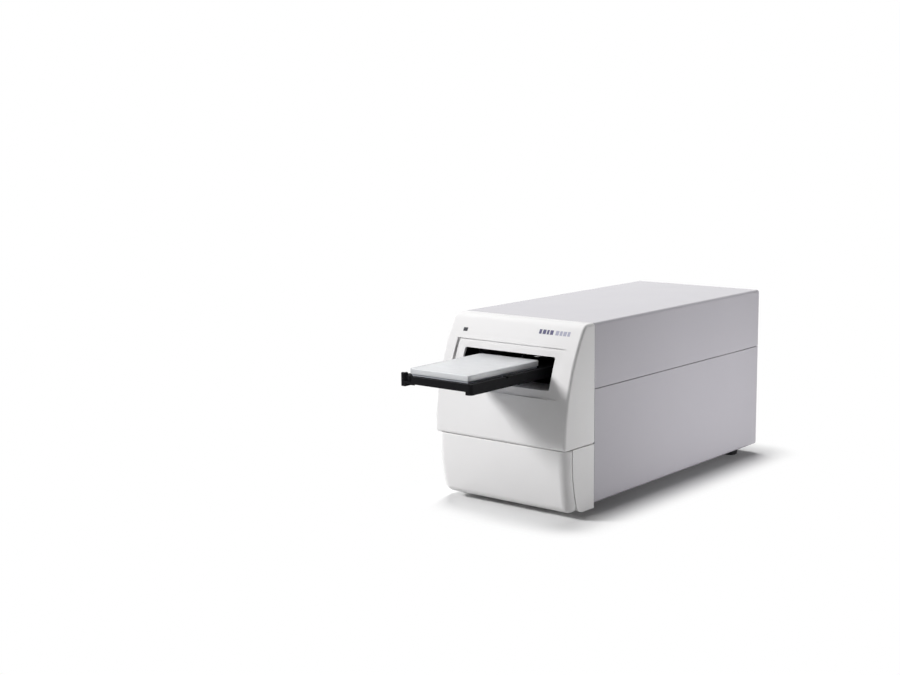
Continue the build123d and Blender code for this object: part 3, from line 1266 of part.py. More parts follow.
def fan_frame():
    """Square fan frame against the rear panel, with struts to its motor seat."""
    y = (REAR_INNER_Y - FAN_DEPTH, REAR_INNER_Y)
    frame = block(span(FAN_X, FAN_SIDE), y, span(FAN_Z, FAN_SIDE))
    frame = fillet(frame.edges().filter_by(Axis.Y), FAN_CORNER_R)
    frame -= bar_y(FAN_X, FAN_Z, FAN_BORE_R, (y[0] - 1, y[1] + 1))
    strut_y = (y[0], y[0] + FAN_STRUT_THICK)
    struts = bar_y(FAN_X, FAN_Z, FAN_HUB_R, strut_y)
    struts += block(span(FAN_X, 2 * FAN_BORE_R + 2), strut_y, span(FAN_Z, FAN_STRUT))
    struts += block(span(FAN_X, FAN_STRUT), strut_y, span(FAN_Z, 2 * FAN_BORE_R + 2))
    return frame + struts + bar_y(FAN_X, FAN_Z, FAN_PIN_R, (strut_y[1], strut_y[1] + FAN_PIN))


def fan_rotor():
    """Fan rotor: hub on the motor's pin with swept blades."""
    front = REAR_INNER_Y - FAN_DEPTH + FAN_STRUT_THICK + FIT_GAP
    y = (front, REAR_INNER_Y - FAN_FACE_GAP)
    rotor = bar_y(FAN_X, FAN_Z, FAN_HUB_R, y)
    reach = FAN_BORE_R - FAN_TIP_GAP
    depth = y[1] - y[0]
    blade = block((FAN_HUB_R - 1, reach), both_sides(depth), span(0, FAN_BLADE_THICK))
    blade = Pos(0, sum(y) / 2, 0) * Rot(FAN_BLADE_TILT, 0, 0) * blade
    blade &= bar_y(0, 0, reach, (y[0] + FAN_BLADE_TRIM, y[1] - FAN_BLADE_TRIM))
    for n in range(FAN_BLADES):
        rotor += Pos(FAN_X, 0, FAN_Z) * Rot(0, 360 * n / FAN_BLADES, 0) * blade
    return rotor - bar_y(FAN_X, FAN_Z, FAN_PIN_R + RUNNING, (front - 1, front + FAN_PIN + 1))


def fan_guard():
    """Finger guard over the fan's opening: flat rings on four spokes."""
    y = (REAR_FACE_Y, REAR_FACE_Y + GUARD_WIRE)
    reach = FAN_BORE_R + 2 * GUARD_WIRE
    guard = bar_y(FAN_X, FAN_Z, GUARD_WIRE * 2, y)
    for n in range(1, GUARD_RINGS + 1):
        radius = FAN_BORE_R * n / GUARD_RINGS
        ring = bar_y(FAN_X, FAN_Z, radius + GUARD_WIRE / 2, y)
        guard += ring - bar_y(FAN_X, FAN_Z, radius - GUARD_WIRE / 2, (y[0] - 1, y[1] + 1))
    for turn in (45, 135):
        spoke = block(both_sides(reach), y, span(0, GUARD_WIRE))
        guard += Pos(FAN_X, 0, FAN_Z) * Rot(0, turn, 0) * spoke
    return guard


def power_inlet():
    """Three-pin appliance inlet with its flange on the rear panel."""
    face = REAR_FACE_Y + INLET_FLANGE_THICK
    x = span(INLET_X, INLET_WIDTH)
    z = span(INLET_Z, INLET_HEIGHT)
    body = block(x, (REAR_FACE_Y - INLET_DEPTH, face), z)
    flange_x = (x[0] - INLET_FLANGE, x[1] + INLET_FLANGE)
    flange = block(flange_x, (REAR_FACE_Y, face), (z[0] - 2, z[1] + 2))
    body += fillet(flange.edges().filter_by(Axis.Y), INLET_CORNER)
    wall = INLET_CAVITY_WALL
    depth = (face - INLET_CAVITY_DEPTH, face + 1)
    cavity = block((x[0] + wall, x[1] - wall), depth, (z[0] + wall, z[1] - wall))
    top_corners = cavity.edges().filter_by(Axis.Y).sort_by(Axis.Z)[-2:]
    body -= chamfer(top_corners, INLET_CORNER)
    pin_y = (face - INLET_CAVITY_DEPTH, face - INLET_CAVITY_DEPTH + INLET_PIN_LENGTH)
    for n in (-1, 0, 1):
        rise = INLET_EARTH_RISE if n == 0 else -INLET_PIN_TALL / 2
        pin_x = span(INLET_X + n * INLET_PIN_PITCH, INLET_PIN_THICK)
        body += block(pin_x, pin_y, span(INLET_Z + rise, INLET_PIN_TALL))
    return body


def fuse_drawer():
    """Small fuse drawer below the inlet."""
    z = INLET_Z - FUSE_DROP
    face = REAR_FACE_Y + INLET_FLANGE_THICK / 2
    depth = (REAR_FACE_Y - FUSE_DEPTH, REAR_FACE_Y)
    tray = block(span(INLET_X, FUSE_WIDTH), depth, span(z, FUSE_HEIGHT))
    rim_x = span(INLET_X, FUSE_WIDTH + 2 * FUSE_RIM)
    tray += block(rim_x, (REAR_FACE_Y, face), span(z, FUSE_HEIGHT + 2 * FUSE_RIM))
    return tray - block(span(INLET_X, FUSE_GRIP_LONG), (face - FUSE_GRIP_DEPTH, face + 1), span(z, FUSE_GRIP))


def switch_bezel():
    """Frame of the rocker switch, open in front, with the rocker's pivot pins."""
    face = REAR_FACE_Y + SWITCH_RIM
    depth = (REAR_FACE_Y - SWITCH_DEPTH, REAR_FACE_Y)
    body = block(span(INLET_X, SWITCH_WIDTH), depth, span(SWITCH_Z, SWITCH_HEIGHT))
    rim_x = span(INLET_X, SWITCH_WIDTH + 2 * SWITCH_RIM)
    rim = block(rim_x, (REAR_FACE_Y, face), span(SWITCH_Z, SWITCH_HEIGHT + 2 * SWITCH_RIM))
    body += fillet(rim.edges().filter_by(Axis.Y), SWITCH_RIM)
    wall = SWITCH_WALL
    inner_y = (REAR_FACE_Y - SWITCH_DEPTH + wall, face + 1)
    inner_x = span(INLET_X, SWITCH_WIDTH - 2 * wall)
    body -= block(inner_x, inner_y, span(SWITCH_Z, SWITCH_HEIGHT - 2 * wall))
    pin = Rot(0, 90, 0) * Cylinder(SWITCH_PIN_R, SWITCH_WIDTH - wall)
    return body + Pos(INLET_X, REAR_FACE_Y - SWITCH_PIN_DEPTH, SWITCH_Z) * pin


def switch_rocker():
    """Rocker with two raised ends, pressed in at its lower end, on the bezel's pivot."""
    width = SWITCH_WIDTH - 2 * SWITCH_WALL - 2 * FIT_GAP
    half = SWITCH_HEIGHT / 2 - SWITCH_WALL - 2 * FIT_GAP
    waist = half - ROCKER_WAIST
    foot = half / 2
    top = [(half, ROCKER_FACE), (0, ROCKER_FACE - ROCKER_DIP), (-half, ROCKER_FACE)]
    under = [(-waist, -1), (-foot, -ROCKER_DEPTH), (foot, -ROCKER_DEPTH), (waist, -1)]
    side = Plane((0, 0, 0), x_dir=(0, 0, 1), z_dir=(-1, 0, 0))
    outline = side * make_face(Polyline(*top, *under, close=True))
    rocker = extrude(outline, width / 2, both=True)
    rocker -= Rot(0, 90, 0) * Cylinder(SWITCH_PIN_R + RUNNING, 2 * width)
    place = Pos(INLET_X, REAR_FACE_Y - SWITCH_PIN_DEPTH, SWITCH_Z)
    return place * Rot(-SWITCH_TILT, 0, 0) * rocker


def data_connector():
    """Square data socket with its tongue."""
    x = span(DATA_X, DATA_WIDTH)
    z = span(DATA_Z, DATA_HEIGHT)
    face = REAR_FACE_Y + DATA_PROUD
    shell = block(x, (REAR_FACE_Y - DATA_DEPTH, face), z)
    mouth_z = span(DATA_Z, DATA_HEIGHT - 2 * DATA_WALL)
    shell -= block(span(DATA_X, DATA_WIDTH - 2 * DATA_WALL), (face - DATA_MOUTH, face + 1), mouth_z)
    tongue_y = (face - DATA_MOUTH, face - 1)
    return shell + block(span(DATA_X, DATA_TONGUE), tongue_y, span(DATA_Z, DATA_TONGUE_THICK))


PIECES = (
    front_fascia, front_lower_panel, upper_cover, lower_cover, rear_panel, base_plate, rubber_feet,
    foot_screws, cover_screws, status_led, plate_tunnel,
    plate_carrier, carrier_sledge, bushings, belt_clamp, sensor_flag, carrier_screws, clamp_lever,
    lever_pin, clamp_spring, microplate, microplate_lid,
    guide_rods, rod_blocks, transport_deck, deck_legs, deck_screws, transport_belt, drive_pulley,
    motor_shaft, idler_pulley, idler_pin, transport_motor, home_sensor,
    lower_optics_bar, beam_lenses, upper_optics_bar, optics_bridge, detector_board, light_guide,
    lamp_housing, halogen_lamp, condenser_lens, filter_wheel, optical_filters, filter_motor,
    filter_bracket,
    main_board, board_standoffs, power_supply, fan_frame, fan_rotor, fan_guard, power_inlet,
    fuse_drawer, switch_bezel, switch_rocker, data_connector,
)


def save(piece):
    """Write one piece to its own file, moved to the instrument's origin."""
    made = piece()
    solids = made if isinstance(made, list) else made.solids()
    shape = Compound(list(solids)) if len(solids) > 1 else solids[0]
    export_step(Pos(0, SHIFT_Y, 0) * shape, f"parts/{piece.__name__}.step")


os.makedirs("parts", exist_ok=True)
for piece in PIECES:
    save(piece)
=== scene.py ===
import logging
import math
from dataclasses import dataclass, replace
from enum import Enum
from typing import Callable, Sequence

import bpy
from mathutils import Matrix, Vector


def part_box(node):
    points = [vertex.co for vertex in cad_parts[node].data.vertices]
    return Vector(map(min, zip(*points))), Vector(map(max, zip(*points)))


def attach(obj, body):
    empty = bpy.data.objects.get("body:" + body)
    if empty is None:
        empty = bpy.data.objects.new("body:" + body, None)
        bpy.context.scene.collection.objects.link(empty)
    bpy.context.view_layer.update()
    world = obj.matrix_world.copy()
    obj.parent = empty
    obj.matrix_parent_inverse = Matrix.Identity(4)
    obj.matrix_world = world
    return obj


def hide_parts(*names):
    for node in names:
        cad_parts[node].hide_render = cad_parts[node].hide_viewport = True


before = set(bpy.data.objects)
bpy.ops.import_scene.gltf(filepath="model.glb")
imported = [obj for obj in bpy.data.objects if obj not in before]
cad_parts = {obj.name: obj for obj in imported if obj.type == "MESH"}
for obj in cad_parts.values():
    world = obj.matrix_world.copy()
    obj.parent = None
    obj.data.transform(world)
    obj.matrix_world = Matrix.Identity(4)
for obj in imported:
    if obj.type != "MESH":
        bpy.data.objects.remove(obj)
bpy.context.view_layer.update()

logging.basicConfig(level=logging.INFO, format="%(message)s")
LOG = logging.getLogger("microplate_reader")
MM = 0.001
# Points nearer than this, in metres, count as being in the same place.
SNUG = 2e-5

Piece = bpy.types.Object
Tree = bpy.types.NodeTree
Socket = bpy.types.NodeSocket
Place = tuple[float, float, float]
Pairs = tuple[tuple[float, float], ...]


# Finishes

def linear(code: str) -> tuple[float, ...]:
    """Turns an sRGB colour into Blender's linear one.

    Args:
        code: six hex digits, as in "C8C9CB".

    Returns:
        Linear red, green, blue and an alpha of one.
    """
    parts = [int(code[n:n + 2], 16) / 255 for n in (0, 2, 4)]
    bent = [c / 12.92 if c <= 0.04045 else ((c + 0.055) / 1.055) ** 2.4 for c in parts]
    return (*bent, 1.0)


def add_node(tree: Tree, kind: str, settings: dict | None = None,
             links: dict | None = None) -> bpy.types.Node:
    """Adds one shader node.

    Args:
        tree: the material's node tree.
        kind: the node's Blender type.
        settings: values for its properties and its sockets, by name or by number.
        links: the output socket that feeds each of its inputs, by name or by number.

    Returns:
        The new node.
    """
    made = tree.nodes.new(kind)
    for key, value in (settings or {}).items():
        if isinstance(key, str) and hasattr(made, key):
            setattr(made, key, value)
        else:
            made.inputs[key].default_value = value
    for key, socket in (links or {}).items():
        tree.links.new(socket, made.inputs[key])
    return made


def per_metre(size_mm: float) -> float:
    """The texture scale whose features are about size_mm across."""
    return 1.0 / (size_mm * MM)


@dataclass(frozen=True)
class Finish:
    """A surface finish, with the colours and grain that every kind has.

    Args:
        name: the material's name.
        colour: main colour, sRGB hex.
        shade: the colour it drifts to in broad, faint patches, sRGB hex.
        rough: mean roughness.
        rough_drift: how far the roughness moves to each side.
        grain_mm: size of the surface grain.
        grain_depth: height of the grain in millimetres.
        patch_mm: size of the patches.
    """

    name: str
    colour: str
    shade: str
    rough: float = 0.45
    rough_drift: float = 0.05
    grain_mm: float = 0.5
    grain_depth: float = 0.01
    patch_mm: float = 60.0

    def shader(self) -> dict:
        """The shader's own fixed sockets."""
        return {}

    def pattern(self, tree: Tree, place: Socket) -> Socket:
        """The height that the bump follows: an even grain.

        Args:
            tree: the material's node tree.
            place: the point on the surface.

        Returns:
            The height's socket.
        """
        grain = add_node(tree, "ShaderNodeTexNoise",
                         {"Scale": per_metre(self.grain_mm), "Detail": 2.0}, {"Vector": place})
        return grain.outputs["Fac"]

    def tint(self, tree: Tree, place: Socket) -> Socket:
        """The base colour, drifting between the two colours.

        Args:
            tree: the material's node tree.
            place: the point on the surface.

        Returns:
            The colour's socket.
        """
        patch = add_node(tree, "ShaderNodeTexNoise",
                         {"Scale": per_metre(self.patch_mm), "Detail": 3.0}, {"Vector": place})
        mixed = add_node(tree, "ShaderNodeMix",
                         {"data_type": "RGBA", 6: linear(self.colour), 7: linear(self.shade)},
                         {0: patch.outputs["Fac"]})
        return mixed.outputs[2]

    def make(self) -> bpy.types.Material:
        """Builds the material, or hands back the one made before.

        Returns:
            The material.
        """
        if self.name in bpy.data.materials:
            return bpy.data.materials[self.name]
        made = bpy.data.materials.new(self.name)
        made.use_nodes = True
        tree = made.node_tree
        tree.nodes.clear()
        place = add_node(tree, "ShaderNodeTexCoord").outputs["Object"]
        blotch_mm = self.patch_mm / 3
        blotch = add_node(tree, "ShaderNodeTexNoise",
                          {"Scale": per_metre(blotch_mm), "Detail": 4.0}, {"Vector": place})
        rough = add_node(tree, "ShaderNodeMapRange",
                         {"To Min": self.rough - self.rough_drift,
                          "To Max": self.rough + self.rough_drift},
                         {"Value": blotch.outputs["Fac"]})
        bump = add_node(tree, "ShaderNodeBump",
                        {"Strength": 1.0, "Distance": self.grain_depth * MM},
                        {"Height": self.pattern(tree, place)})
        surface = add_node(tree, "ShaderNodeBsdfPrincipled", self.shader(),
                           {"Base Color": self.tint(tree, place),
                            "Roughness": rough.outputs["Result"],
                            "Normal": bump.outputs["Normal"]})
        add_node(tree, "ShaderNodeOutputMaterial", {}, {"Surface": surface.outputs["BSDF"]})
        return made


@dataclass(frozen=True)
class MouldedPlastic(Finish):
    """Plastic moulded in a spark-eroded tool: an even, very fine grain and a satin sheen.

    Args:
        ior: index of refraction.
        sheen: how much of the surface's reflection its grain lets through.
    """

    ior: float = 1.53
    sheen: float = 0.5

    def shader(self) -> dict:
        """The shader's own fixed sockets."""
        return {"IOR": self.ior, "Specular IOR Level": self.sheen}


@dataclass(frozen=True)
class StovedPaint(Finish):
    """Stoved paint on sheet metal: flow ripples like a fine orange peel under a satin skin.

    Args:
        ripple_mm: distance between the ripples.
        grain_share: height of the grain against that of the ripples.
    """

    ripple_mm: float = 2.2
    grain_share: float = 0.3

    def shader(self) -> dict:
        """The shader's own fixed sockets."""
        return {"IOR": 1.35, "Coat Weight": 0.9, "Coat Roughness": 0.25, "Coat IOR": 1.35}

    def pattern(self, tree: Tree, place: Socket) -> Socket:
        """Ripples with a little grain on them.

        Args:
            tree: the material's node tree.
            place: the point on the surface.

        Returns:
            The height's socket.
        """
        ripple = add_node(tree, "ShaderNodeTexNoise",
                          {"Scale": per_metre(self.ripple_mm), "Detail": 1.0}, {"Vector": place})
        grain = add_node(tree, "ShaderNodeTexNoise",
                         {"Scale": per_metre(self.grain_mm), "Detail": 1.0}, {"Vector": place})
        both = add_node(tree, "ShaderNodeMath", {"operation": "MULTIPLY_ADD", 1: self.grain_share},
                        {0: grain.outputs["Fac"], 2: ripple.outputs["Fac"]})
        return both.outputs[0]


@dataclass(frozen=True)
class Metal(Finish):
    """Bare or plated metal with a brushed or rolled direction.

    Args:
        stretch: how much longer the grain is along each axis.
    """

    stretch: Place = (1.0, 1.0, 1.0)

    def shader(self) -> dict:
        """The shader's own fixed sockets."""
        return {"Metallic": 1.0}

    def pattern(self, tree: Tree, place: Socket) -> Socket:
        """Grain drawn out along the brushing.

        Args:
            tree: the material's node tree.
            place: the point on the surface.

        Returns:
            The height's socket.
        """
        scale = tuple(1.0 / s for s in self.stretch)
        drawn = add_node(tree, "ShaderNodeMapping", {"Scale": scale}, {"Vector": place})
        grain = add_node(tree, "ShaderNodeTexNoise",
                         {"Scale": per_metre(self.grain_mm), "Detail": 3.0},
                         {"Vector": drawn.outputs["Vector"]})
        return grain.outputs["Fac"]


@dataclass(frozen=True)
class ClearPlastic(Finish):
    """Moulded polystyrene that reads milky where light passes several walls.

    Args:
        clear: the share of light that a wall lets through.
    """

    clear: float = 0.35

    def shader(self) -> dict:
        """The shader's own fixed sockets."""
        return {"IOR": 1.59, "Transmission Weight": self.clear}


@dataclass(frozen=True)
class Glass(Finish):
    """Polished optical glass, tinted through its colour."""

    def shader(self) -> dict:
        """The shader's own fixed sockets."""
        return {"IOR": 1.52, "Transmission Weight": 0.9}


@dataclass(frozen=True)
class SolderMask(Finish):
    """Circuit board: green mask with the copper tracks showing through as paler lines.

    Args:
        track: the colour of the mask over copper, sRGB hex.
        cell_mm: size of the patches that the tracks run round, four pin pitches.
        ring: half the distance between two tracks, as a share of a patch.
        bare: the part of it that is bare of copper, as a share of a patch.
    """

    track: str = "2E6B45"
    cell_mm: float = 10.16
    ring: float = 0.11
    bare: float = 0.07

    def shader(self) -> dict:
        """The shader's own fixed sockets."""
        return {"IOR": 1.5, "Coat Weight": 0.4}

    def tint(self, tree: Tree, place: Socket) -> Socket:
        """Square-cornered tracks over the mask colour.

        Args:
            tree: the material's node tree.
            place: the point on the surface.

        Returns:
            The colour's socket.
        """
        cells = add_node(tree, "ShaderNodeTexVoronoi",
                         {"distance": "CHEBYCHEV", "feature": "F1",
                          "Scale": per_metre(self.cell_mm)}, {"Vector": place})
        rings = add_node(tree, "ShaderNodeMath", {"operation": "PINGPONG", 1: self.ring},
                         {0: cells.outputs["Distance"]})
        line = add_node(tree, "ShaderNodeMath", {"operation": "GREATER_THAN", 1: self.bare},
                        {0: rings.outputs[0]})
        mixed = add_node(tree, "ShaderNodeMix",
                         {"data_type": "RGBA", 6: linear(self.colour), 7: linear(self.track)},
                         {0: line.outputs[0]})
        return mixed.outputs[2]


@dataclass(frozen=True)
class RibbedSheath(Finish):
    """Wound sheath of a fibre bundle, ribbed across its length.

    Args:
        rib_mm: distance between the ribs.
    """

    rib_mm: float = 2.0

    def pattern(self, tree: Tree, place: Socket) -> Socket:
        """Ribs that follow the bundle round its bend.

        Args:
            tree: the material's node tree.
            place: the point on the surface.

        Returns:
            The height's socket.
        """
        ribs = add_node(tree, "ShaderNodeTexWave",
                        {"wave_type": "RINGS", "Scale": per_metre(self.rib_mm * math.tau)},
                        {"Vector": place})
        return ribs.outputs["Fac"]


# ABS, moulded and left as it comes from the tool: near white, the light spreads softly over it.
FRONT = MouldedPlastic("moulded_abs_white", "EDECEC", "E7E6E6", rough=0.42, rough_drift=0.04,
                       grain_mm=0.6, grain_depth=0.006, patch_mm=90.0)
# Pad printing ink: thin, flat and a touch glossier than the plastic round it.
MARK_DARK = MouldedPlastic("pad_printed_ink_slate", "5C5A78", "64627E", rough=0.4,
                           rough_drift=0.03, grain_mm=0.4, grain_depth=0.004, patch_mm=8.0)
MARK_PALE = replace(MARK_DARK, name="pad_printed_ink_pale", colour="A9A9BC", shade="B0B0C0")
# Stoved polyester on steel sheet: cool light grey, satin, a faint orange peel in the highlights.
COVER = StovedPaint("stoved_polyester_grey", "B4B1B8", "AFACB4", rough=0.38, rough_drift=0.04,
                    grain_depth=0.008, patch_mm=120.0)
# Glass-filled polyamide, eroded matt: swallows the light inside the slot.
BLACK = MouldedPlastic("moulded_polyamide_black", "0E0E10", "131316", rough=0.6, rough_drift=0.06,
                       grain_mm=0.8, grain_depth=0.02, patch_mm=20.0, sheen=0.1)
# Nylon from a polished tool: the small mouldings at the rear carry crisp highlights.
BLACK_GLOSS = MouldedPlastic("moulded_nylon_gloss_black", "101012", "151518", rough=0.25,
                             grain_mm=0.8, grain_depth=0.006, patch_mm=20.0, sheen=0.25)
# Smoked acrylic: a dark, glossy window over the unlit light.
SMOKED = MouldedPlastic("smoked_acrylic", "3C3C42", "34343A", rough=0.15, rough_drift=0.03,
                        grain_depth=0.002, patch_mm=6.0, ior=1.49)
# Zinc plate: cool and patchy, with a soft metallic shine.
ZINC = Metal("zinc_plated_steel", "B9BABF", "A9AAB2", rough=0.36, rough_drift=0.08, patch_mm=12.0)
# Centreless ground steel: bright, with fine lines along the rods.
GROUND = Metal("ground_steel", "C3C4C8", "B6B8BD", rough=0.18, rough_drift=0.04, grain_mm=0.12,
               grain_depth=0.003, patch_mm=18.0, stretch=(1.0, 12.0, 1.0))
# Anodised aluminium, brushed before its bath: streaks that catch a long, soft highlight.
ALLOY = Metal("anodised_aluminium_clear", "C2C3C7", "B8B9BE", rough=0.38, rough_drift=0.06,
              grain_mm=0.25, grain_depth=0.006, patch_mm=25.0, stretch=(10.0, 1.0, 1.0))
# The same, dyed: a dark metal that keeps stray light down beside the optics.
ALLOY_BLACK = replace(ALLOY, name="anodised_aluminium_black", colour="2B2B2F", shade="232327",
                      rough=0.45)
# Moulded neoprene: dull, with hardly a highlight.
RUBBER = MouldedPlastic("moulded_neoprene", "18181A", "202022", rough=0.8, rough_drift=0.06,
                        grain_mm=0.7, grain_depth=0.03, ior=1.52, patch_mm=10.0)
# Ground belt back: a little smoother than the feet.
BELT = MouldedPlastic("neoprene_belt", "1A1A1B", "222224", rough=0.75, grain_mm=0.6,
                      grain_depth=0.02, ior=1.52, patch_mm=10.0)
# Sintered bronze: brown and porous, so its shine is broken up.
BRONZE = Metal("sintered_bronze", "A8763E", "8F6232", rough=0.5, rough_drift=0.08, grain_mm=0.3,
               grain_depth=0.02, patch_mm=6.0)
# Polystyrene plate: milky where the wells' walls stand close together.
PLATE = ClearPlastic("moulded_polystyrene_plate", "E4E7EE", "DDE1EA", rough=0.22, rough_drift=0.04,
                     grain_mm=3.0, grain_depth=0.003, patch_mm=30.0, clear=0.30)
# Polystyrene lid: whiter than the plate, and faintly wavy.
LID = ClearPlastic("moulded_polystyrene_lid", "F0F1F3", "EAECEF", rough=0.24, grain_mm=4.0,
                   grain_depth=0.004, patch_mm=30.0, clear=0.25)
# Polished crown glass: clear, with sharp reflections.
OPTIC = Glass("polished_crown_glass", "EAF3F6", "E4EFF3", rough=0.03, rough_drift=0.01,
              grain_mm=2.0, grain_depth=0.0005, patch_mm=10.0)
# Interference coating: violet that turns to amber from filter to filter.
FILTERS = Glass("coated_interference_glass", "7A4AA0", "C06A3A", rough=0.05, rough_drift=0.01,
                grain_mm=2.0, grain_depth=0.0005, patch_mm=24.0)
# Solder mask over copper: a green skin, glossier than the board.
BOARD = SolderMask("solder_mask_green", "1D5234", "225C3B", rough=0.35, grain_mm=1.2,
                   grain_depth=0.02, patch_mm=10.0)
# Wound sheath: black, its ribs each with their own thin highlight.
SHEATH = RibbedSheath("wound_pvc_sheath", "202024", "28282C", rough=0.5, grain_mm=0.8,
                      grain_depth=0.15, patch_mm=15.0)

SLOT_FINISH: dict[str, Finish] = {
    "front_plastic": FRONT, "cover_paint": COVER, "black_plastic": BLACK,
    "black_gloss": BLACK_GLOSS, "plated_steel": ZINC, "ground_steel": GROUND,
    "aluminium": ALLOY, "black_aluminium": ALLOY_BLACK, "rubber": RUBBER,
    "belt_rubber": BELT, "bronze": BRONZE, "smoked_lens": SMOKED, "plate_plastic": PLATE,
    "lid_plastic": LID, "optic_glass": OPTIC, "filter_glass": FILTERS,
    "circuit_board": BOARD, "guide_sheath": SHEATH,
}


# Bench tools: the few operator steps that every piece is made with

def clear_selection() -> None:
    """Leaves edit mode and deselects everything."""
    if bpy.context.mode != "OBJECT":
        bpy.ops.object.mode_set(mode="OBJECT")
    bpy.ops.object.select_all(action="DESELECT")


def take(piece: Piece) -> None:
    """Selects one piece alone and makes it active.

    Args:
        piece: the object to work on.
    """
    clear_selection()
    piece.select_set(True)
    bpy.context.view_layer.objects.active = piece


def apply_modifiers(piece: Piece) -> None:
    """Applies every modifier of a piece in order.

    Args:
        piece: the object to finish.
    """
    take(piece)
    for modifier in list(piece.modifiers):
        bpy.ops.object.modifier_apply(modifier=modifier.name)


def settle(piece: Piece) -> None:
    """Puts a piece's place into its mesh, so that its object sits at the origin.

    Args:
        piece: the object to settle.
    """
    take(piece)
    bpy.ops.object.transform_apply(location=True, rotation=True, scale=True)


def soften(piece: Piece, width_mm: float) -> None:
    """Rounds a piece's hard edges a little, as a moulding or a worked edge has them.

    Args:
        piece: the object to work on.
        width_mm: how wide the rounding is.
    """
    rounding = piece.modifiers.new("rounded_edges", "BEVEL")
    rounding.width = width_mm * MM
    rounding.segments = 2
    rounding.limit_method = "ANGLE"
    rounding.angle_limit = math.radians(30.0)
    apply_modifiers(piece)


def smooth(piece: Piece, angle: float = 35.0) -> None:
    """Smooth shading, broken at hard edges, with the flat faces kept flat.

    Args:
        piece: the object to shade.
        angle: edges bent more than this, in degrees, stay crisp.
    """
    take(piece)
    bpy.ops.object.shade_smooth_by_angle(angle=math.radians(angle))
    even = piece.modifiers.new("even_normals", "WEIGHTED_NORMAL")
    even.keep_sharp = True
    apply_modifiers(piece)


def hand_over(piece: Piece, body: str, finish: Finish,
              stands_for: Sequence[str] = ()) -> None:
    """Gives a finished piece its material, its body and the nodes that it stands for.

    Args:
        piece: the finished object.
        body: the CAD body that it rides on.
        finish: its surface finish.
        stands_for: CAD nodes that it replaces.
    """
    piece.data.materials.clear()
    piece.data.materials.append(finish.make())
    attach(piece, body)
    if stands_for:
        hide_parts(*stands_for)
    LOG.info("%s: %d faces, on %s", piece.name, len(piece.data.polygons), body)


def welded_copy(node: str, name: str) -> Piece:
    """A copy of a CAD node's mesh with its loose triangles joined into whole faces.

    Args:
        node: the CAD node.
        name: the new piece's name.

    Returns:
        The copy, riding on nothing yet.
    """
    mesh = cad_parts[node].data.copy()
    mesh.name = name
    piece = bpy.data.objects.new(name, mesh)
    bpy.context.scene.collection.objects.link(piece)
    take(piece)
    if mesh.has_custom_normals:
        bpy.ops.mesh.customdata_custom_splitnormals_clear()
    bpy.ops.object.mode_set(mode="EDIT")
    bpy.ops.mesh.select_all(action="SELECT")
    weld, flat = 2e-6, math.radians(0.6)
    bpy.ops.mesh.remove_doubles(threshold=weld)
    bpy.ops.mesh.dissolve_limited(angle_limit=flat)
    clear_selection()
    return piece


class Rounding(Enum):
    """How far a part's edges are rounded, in millimetres."""

    MOULDED = 0.45
    FOLDED = 0.6
    MACHINED = 0.25
    FINE = 0.12


@dataclass
class SoftenedNodes:
    """CAD nodes whose shape is right and whose edges only need their rounding.

    Args:
        rounding: the edge rounding they share.
        nodes: each node with its body and slot.
    """

    rounding: Rounding
    nodes: tuple[tuple[str, str, str], ...]

    def build(self) -> None:
        """Makes, softens and dresses each piece."""
        for node, body, slot in self.nodes:
            piece = welded_copy(node, f"{node}_soft")
            soften(piece, self.rounding.value)
            smooth(piece)
            hand_over(piece, body, SLOT_FINISH[slot], (node,))


def join_all(pieces: Sequence[Piece], name: str) -> Piece:
    """Joins finished parts of one piece into one object.

    Args:
        pieces: the objects to join.
        name: the joined object's name.

    Returns:
        The joined object.
    """
    take(pieces[0])
    for piece in pieces[1:]:
        piece.select_set(True)
    if len(pieces) > 1:
        bpy.ops.object.join()
    joined = bpy.context.view_layer.objects.active
    joined.name = name
    joined.data.name = name
    return joined


def copy_at(piece: Piece, place: Place, turn: Place = (0.0, 0.0, 0.0)) -> Piece:
    """A copy of a piece with its own mesh, turned and put at a place.

    Args:
        piece: the modelled original, at the origin.
        place: where its origin goes, in millimetres.
        turn: its turn about each axis, in degrees.

    Returns:
        The copy, settled.
    """
    twin = bpy.data.objects.new(piece.name, piece.data.copy())
    bpy.context.scene.collection.objects.link(twin)
    twin.location = [v * MM for v in place]
    twin.rotation_euler = [math.radians(v) for v in turn]
    settle(twin)
    return twin


def open_bare(piece: Piece, kind: str) -> None:
    """Sets what edit mode selects in a piece, with nothing selected yet.

    Args:
        piece: the object to work on.
        kind: FACE or EDGE.
    """
    take(piece)
    bpy.ops.object.mode_set(mode="EDIT")
    bpy.ops.mesh.select_mode(type=kind)
    bpy.ops.mesh.select_all(action="DESELECT")
    bpy.ops.object.mode_set(mode="OBJECT")


def select_faces(piece: Piece, wanted: Callable[[bpy.types.MeshPolygon], bool]) -> None:
    """Selects the faces of a piece that meet a test and opens it in edit mode.

    Args:
        piece: the object to work on.
        wanted: the test, given each face.
    """
    open_bare(piece, "FACE")
    for face in piece.data.polygons:
        face.select = wanted(face)
    bpy.ops.object.mode_set(mode="EDIT")


def select_edges(piece: Piece, wanted: Callable[[Vector, Vector], bool]) -> None:
    """Selects the edges of a piece that meet a test and opens it in edit mode.

    Args:
        piece: the object to work on.
        wanted: the test, given each edge's two ends.
    """
    open_bare(piece, "EDGE")
    mesh = piece.data
    for edge in mesh.edges:
        edge.select = wanted(*(mesh.vertices[n].co for n in edge.vertices))
    bpy.ops.object.mode_set(mode="EDIT")


def faces_up(face: bpy.types.MeshPolygon) -> bool:
    """Whether a face looks straight up."""
    return face.normal.z > 0.9


def faces_down(face: bpy.types.MeshPolygon) -> bool:
    """Whether a face looks straight down."""
    return face.normal.z < -0.9


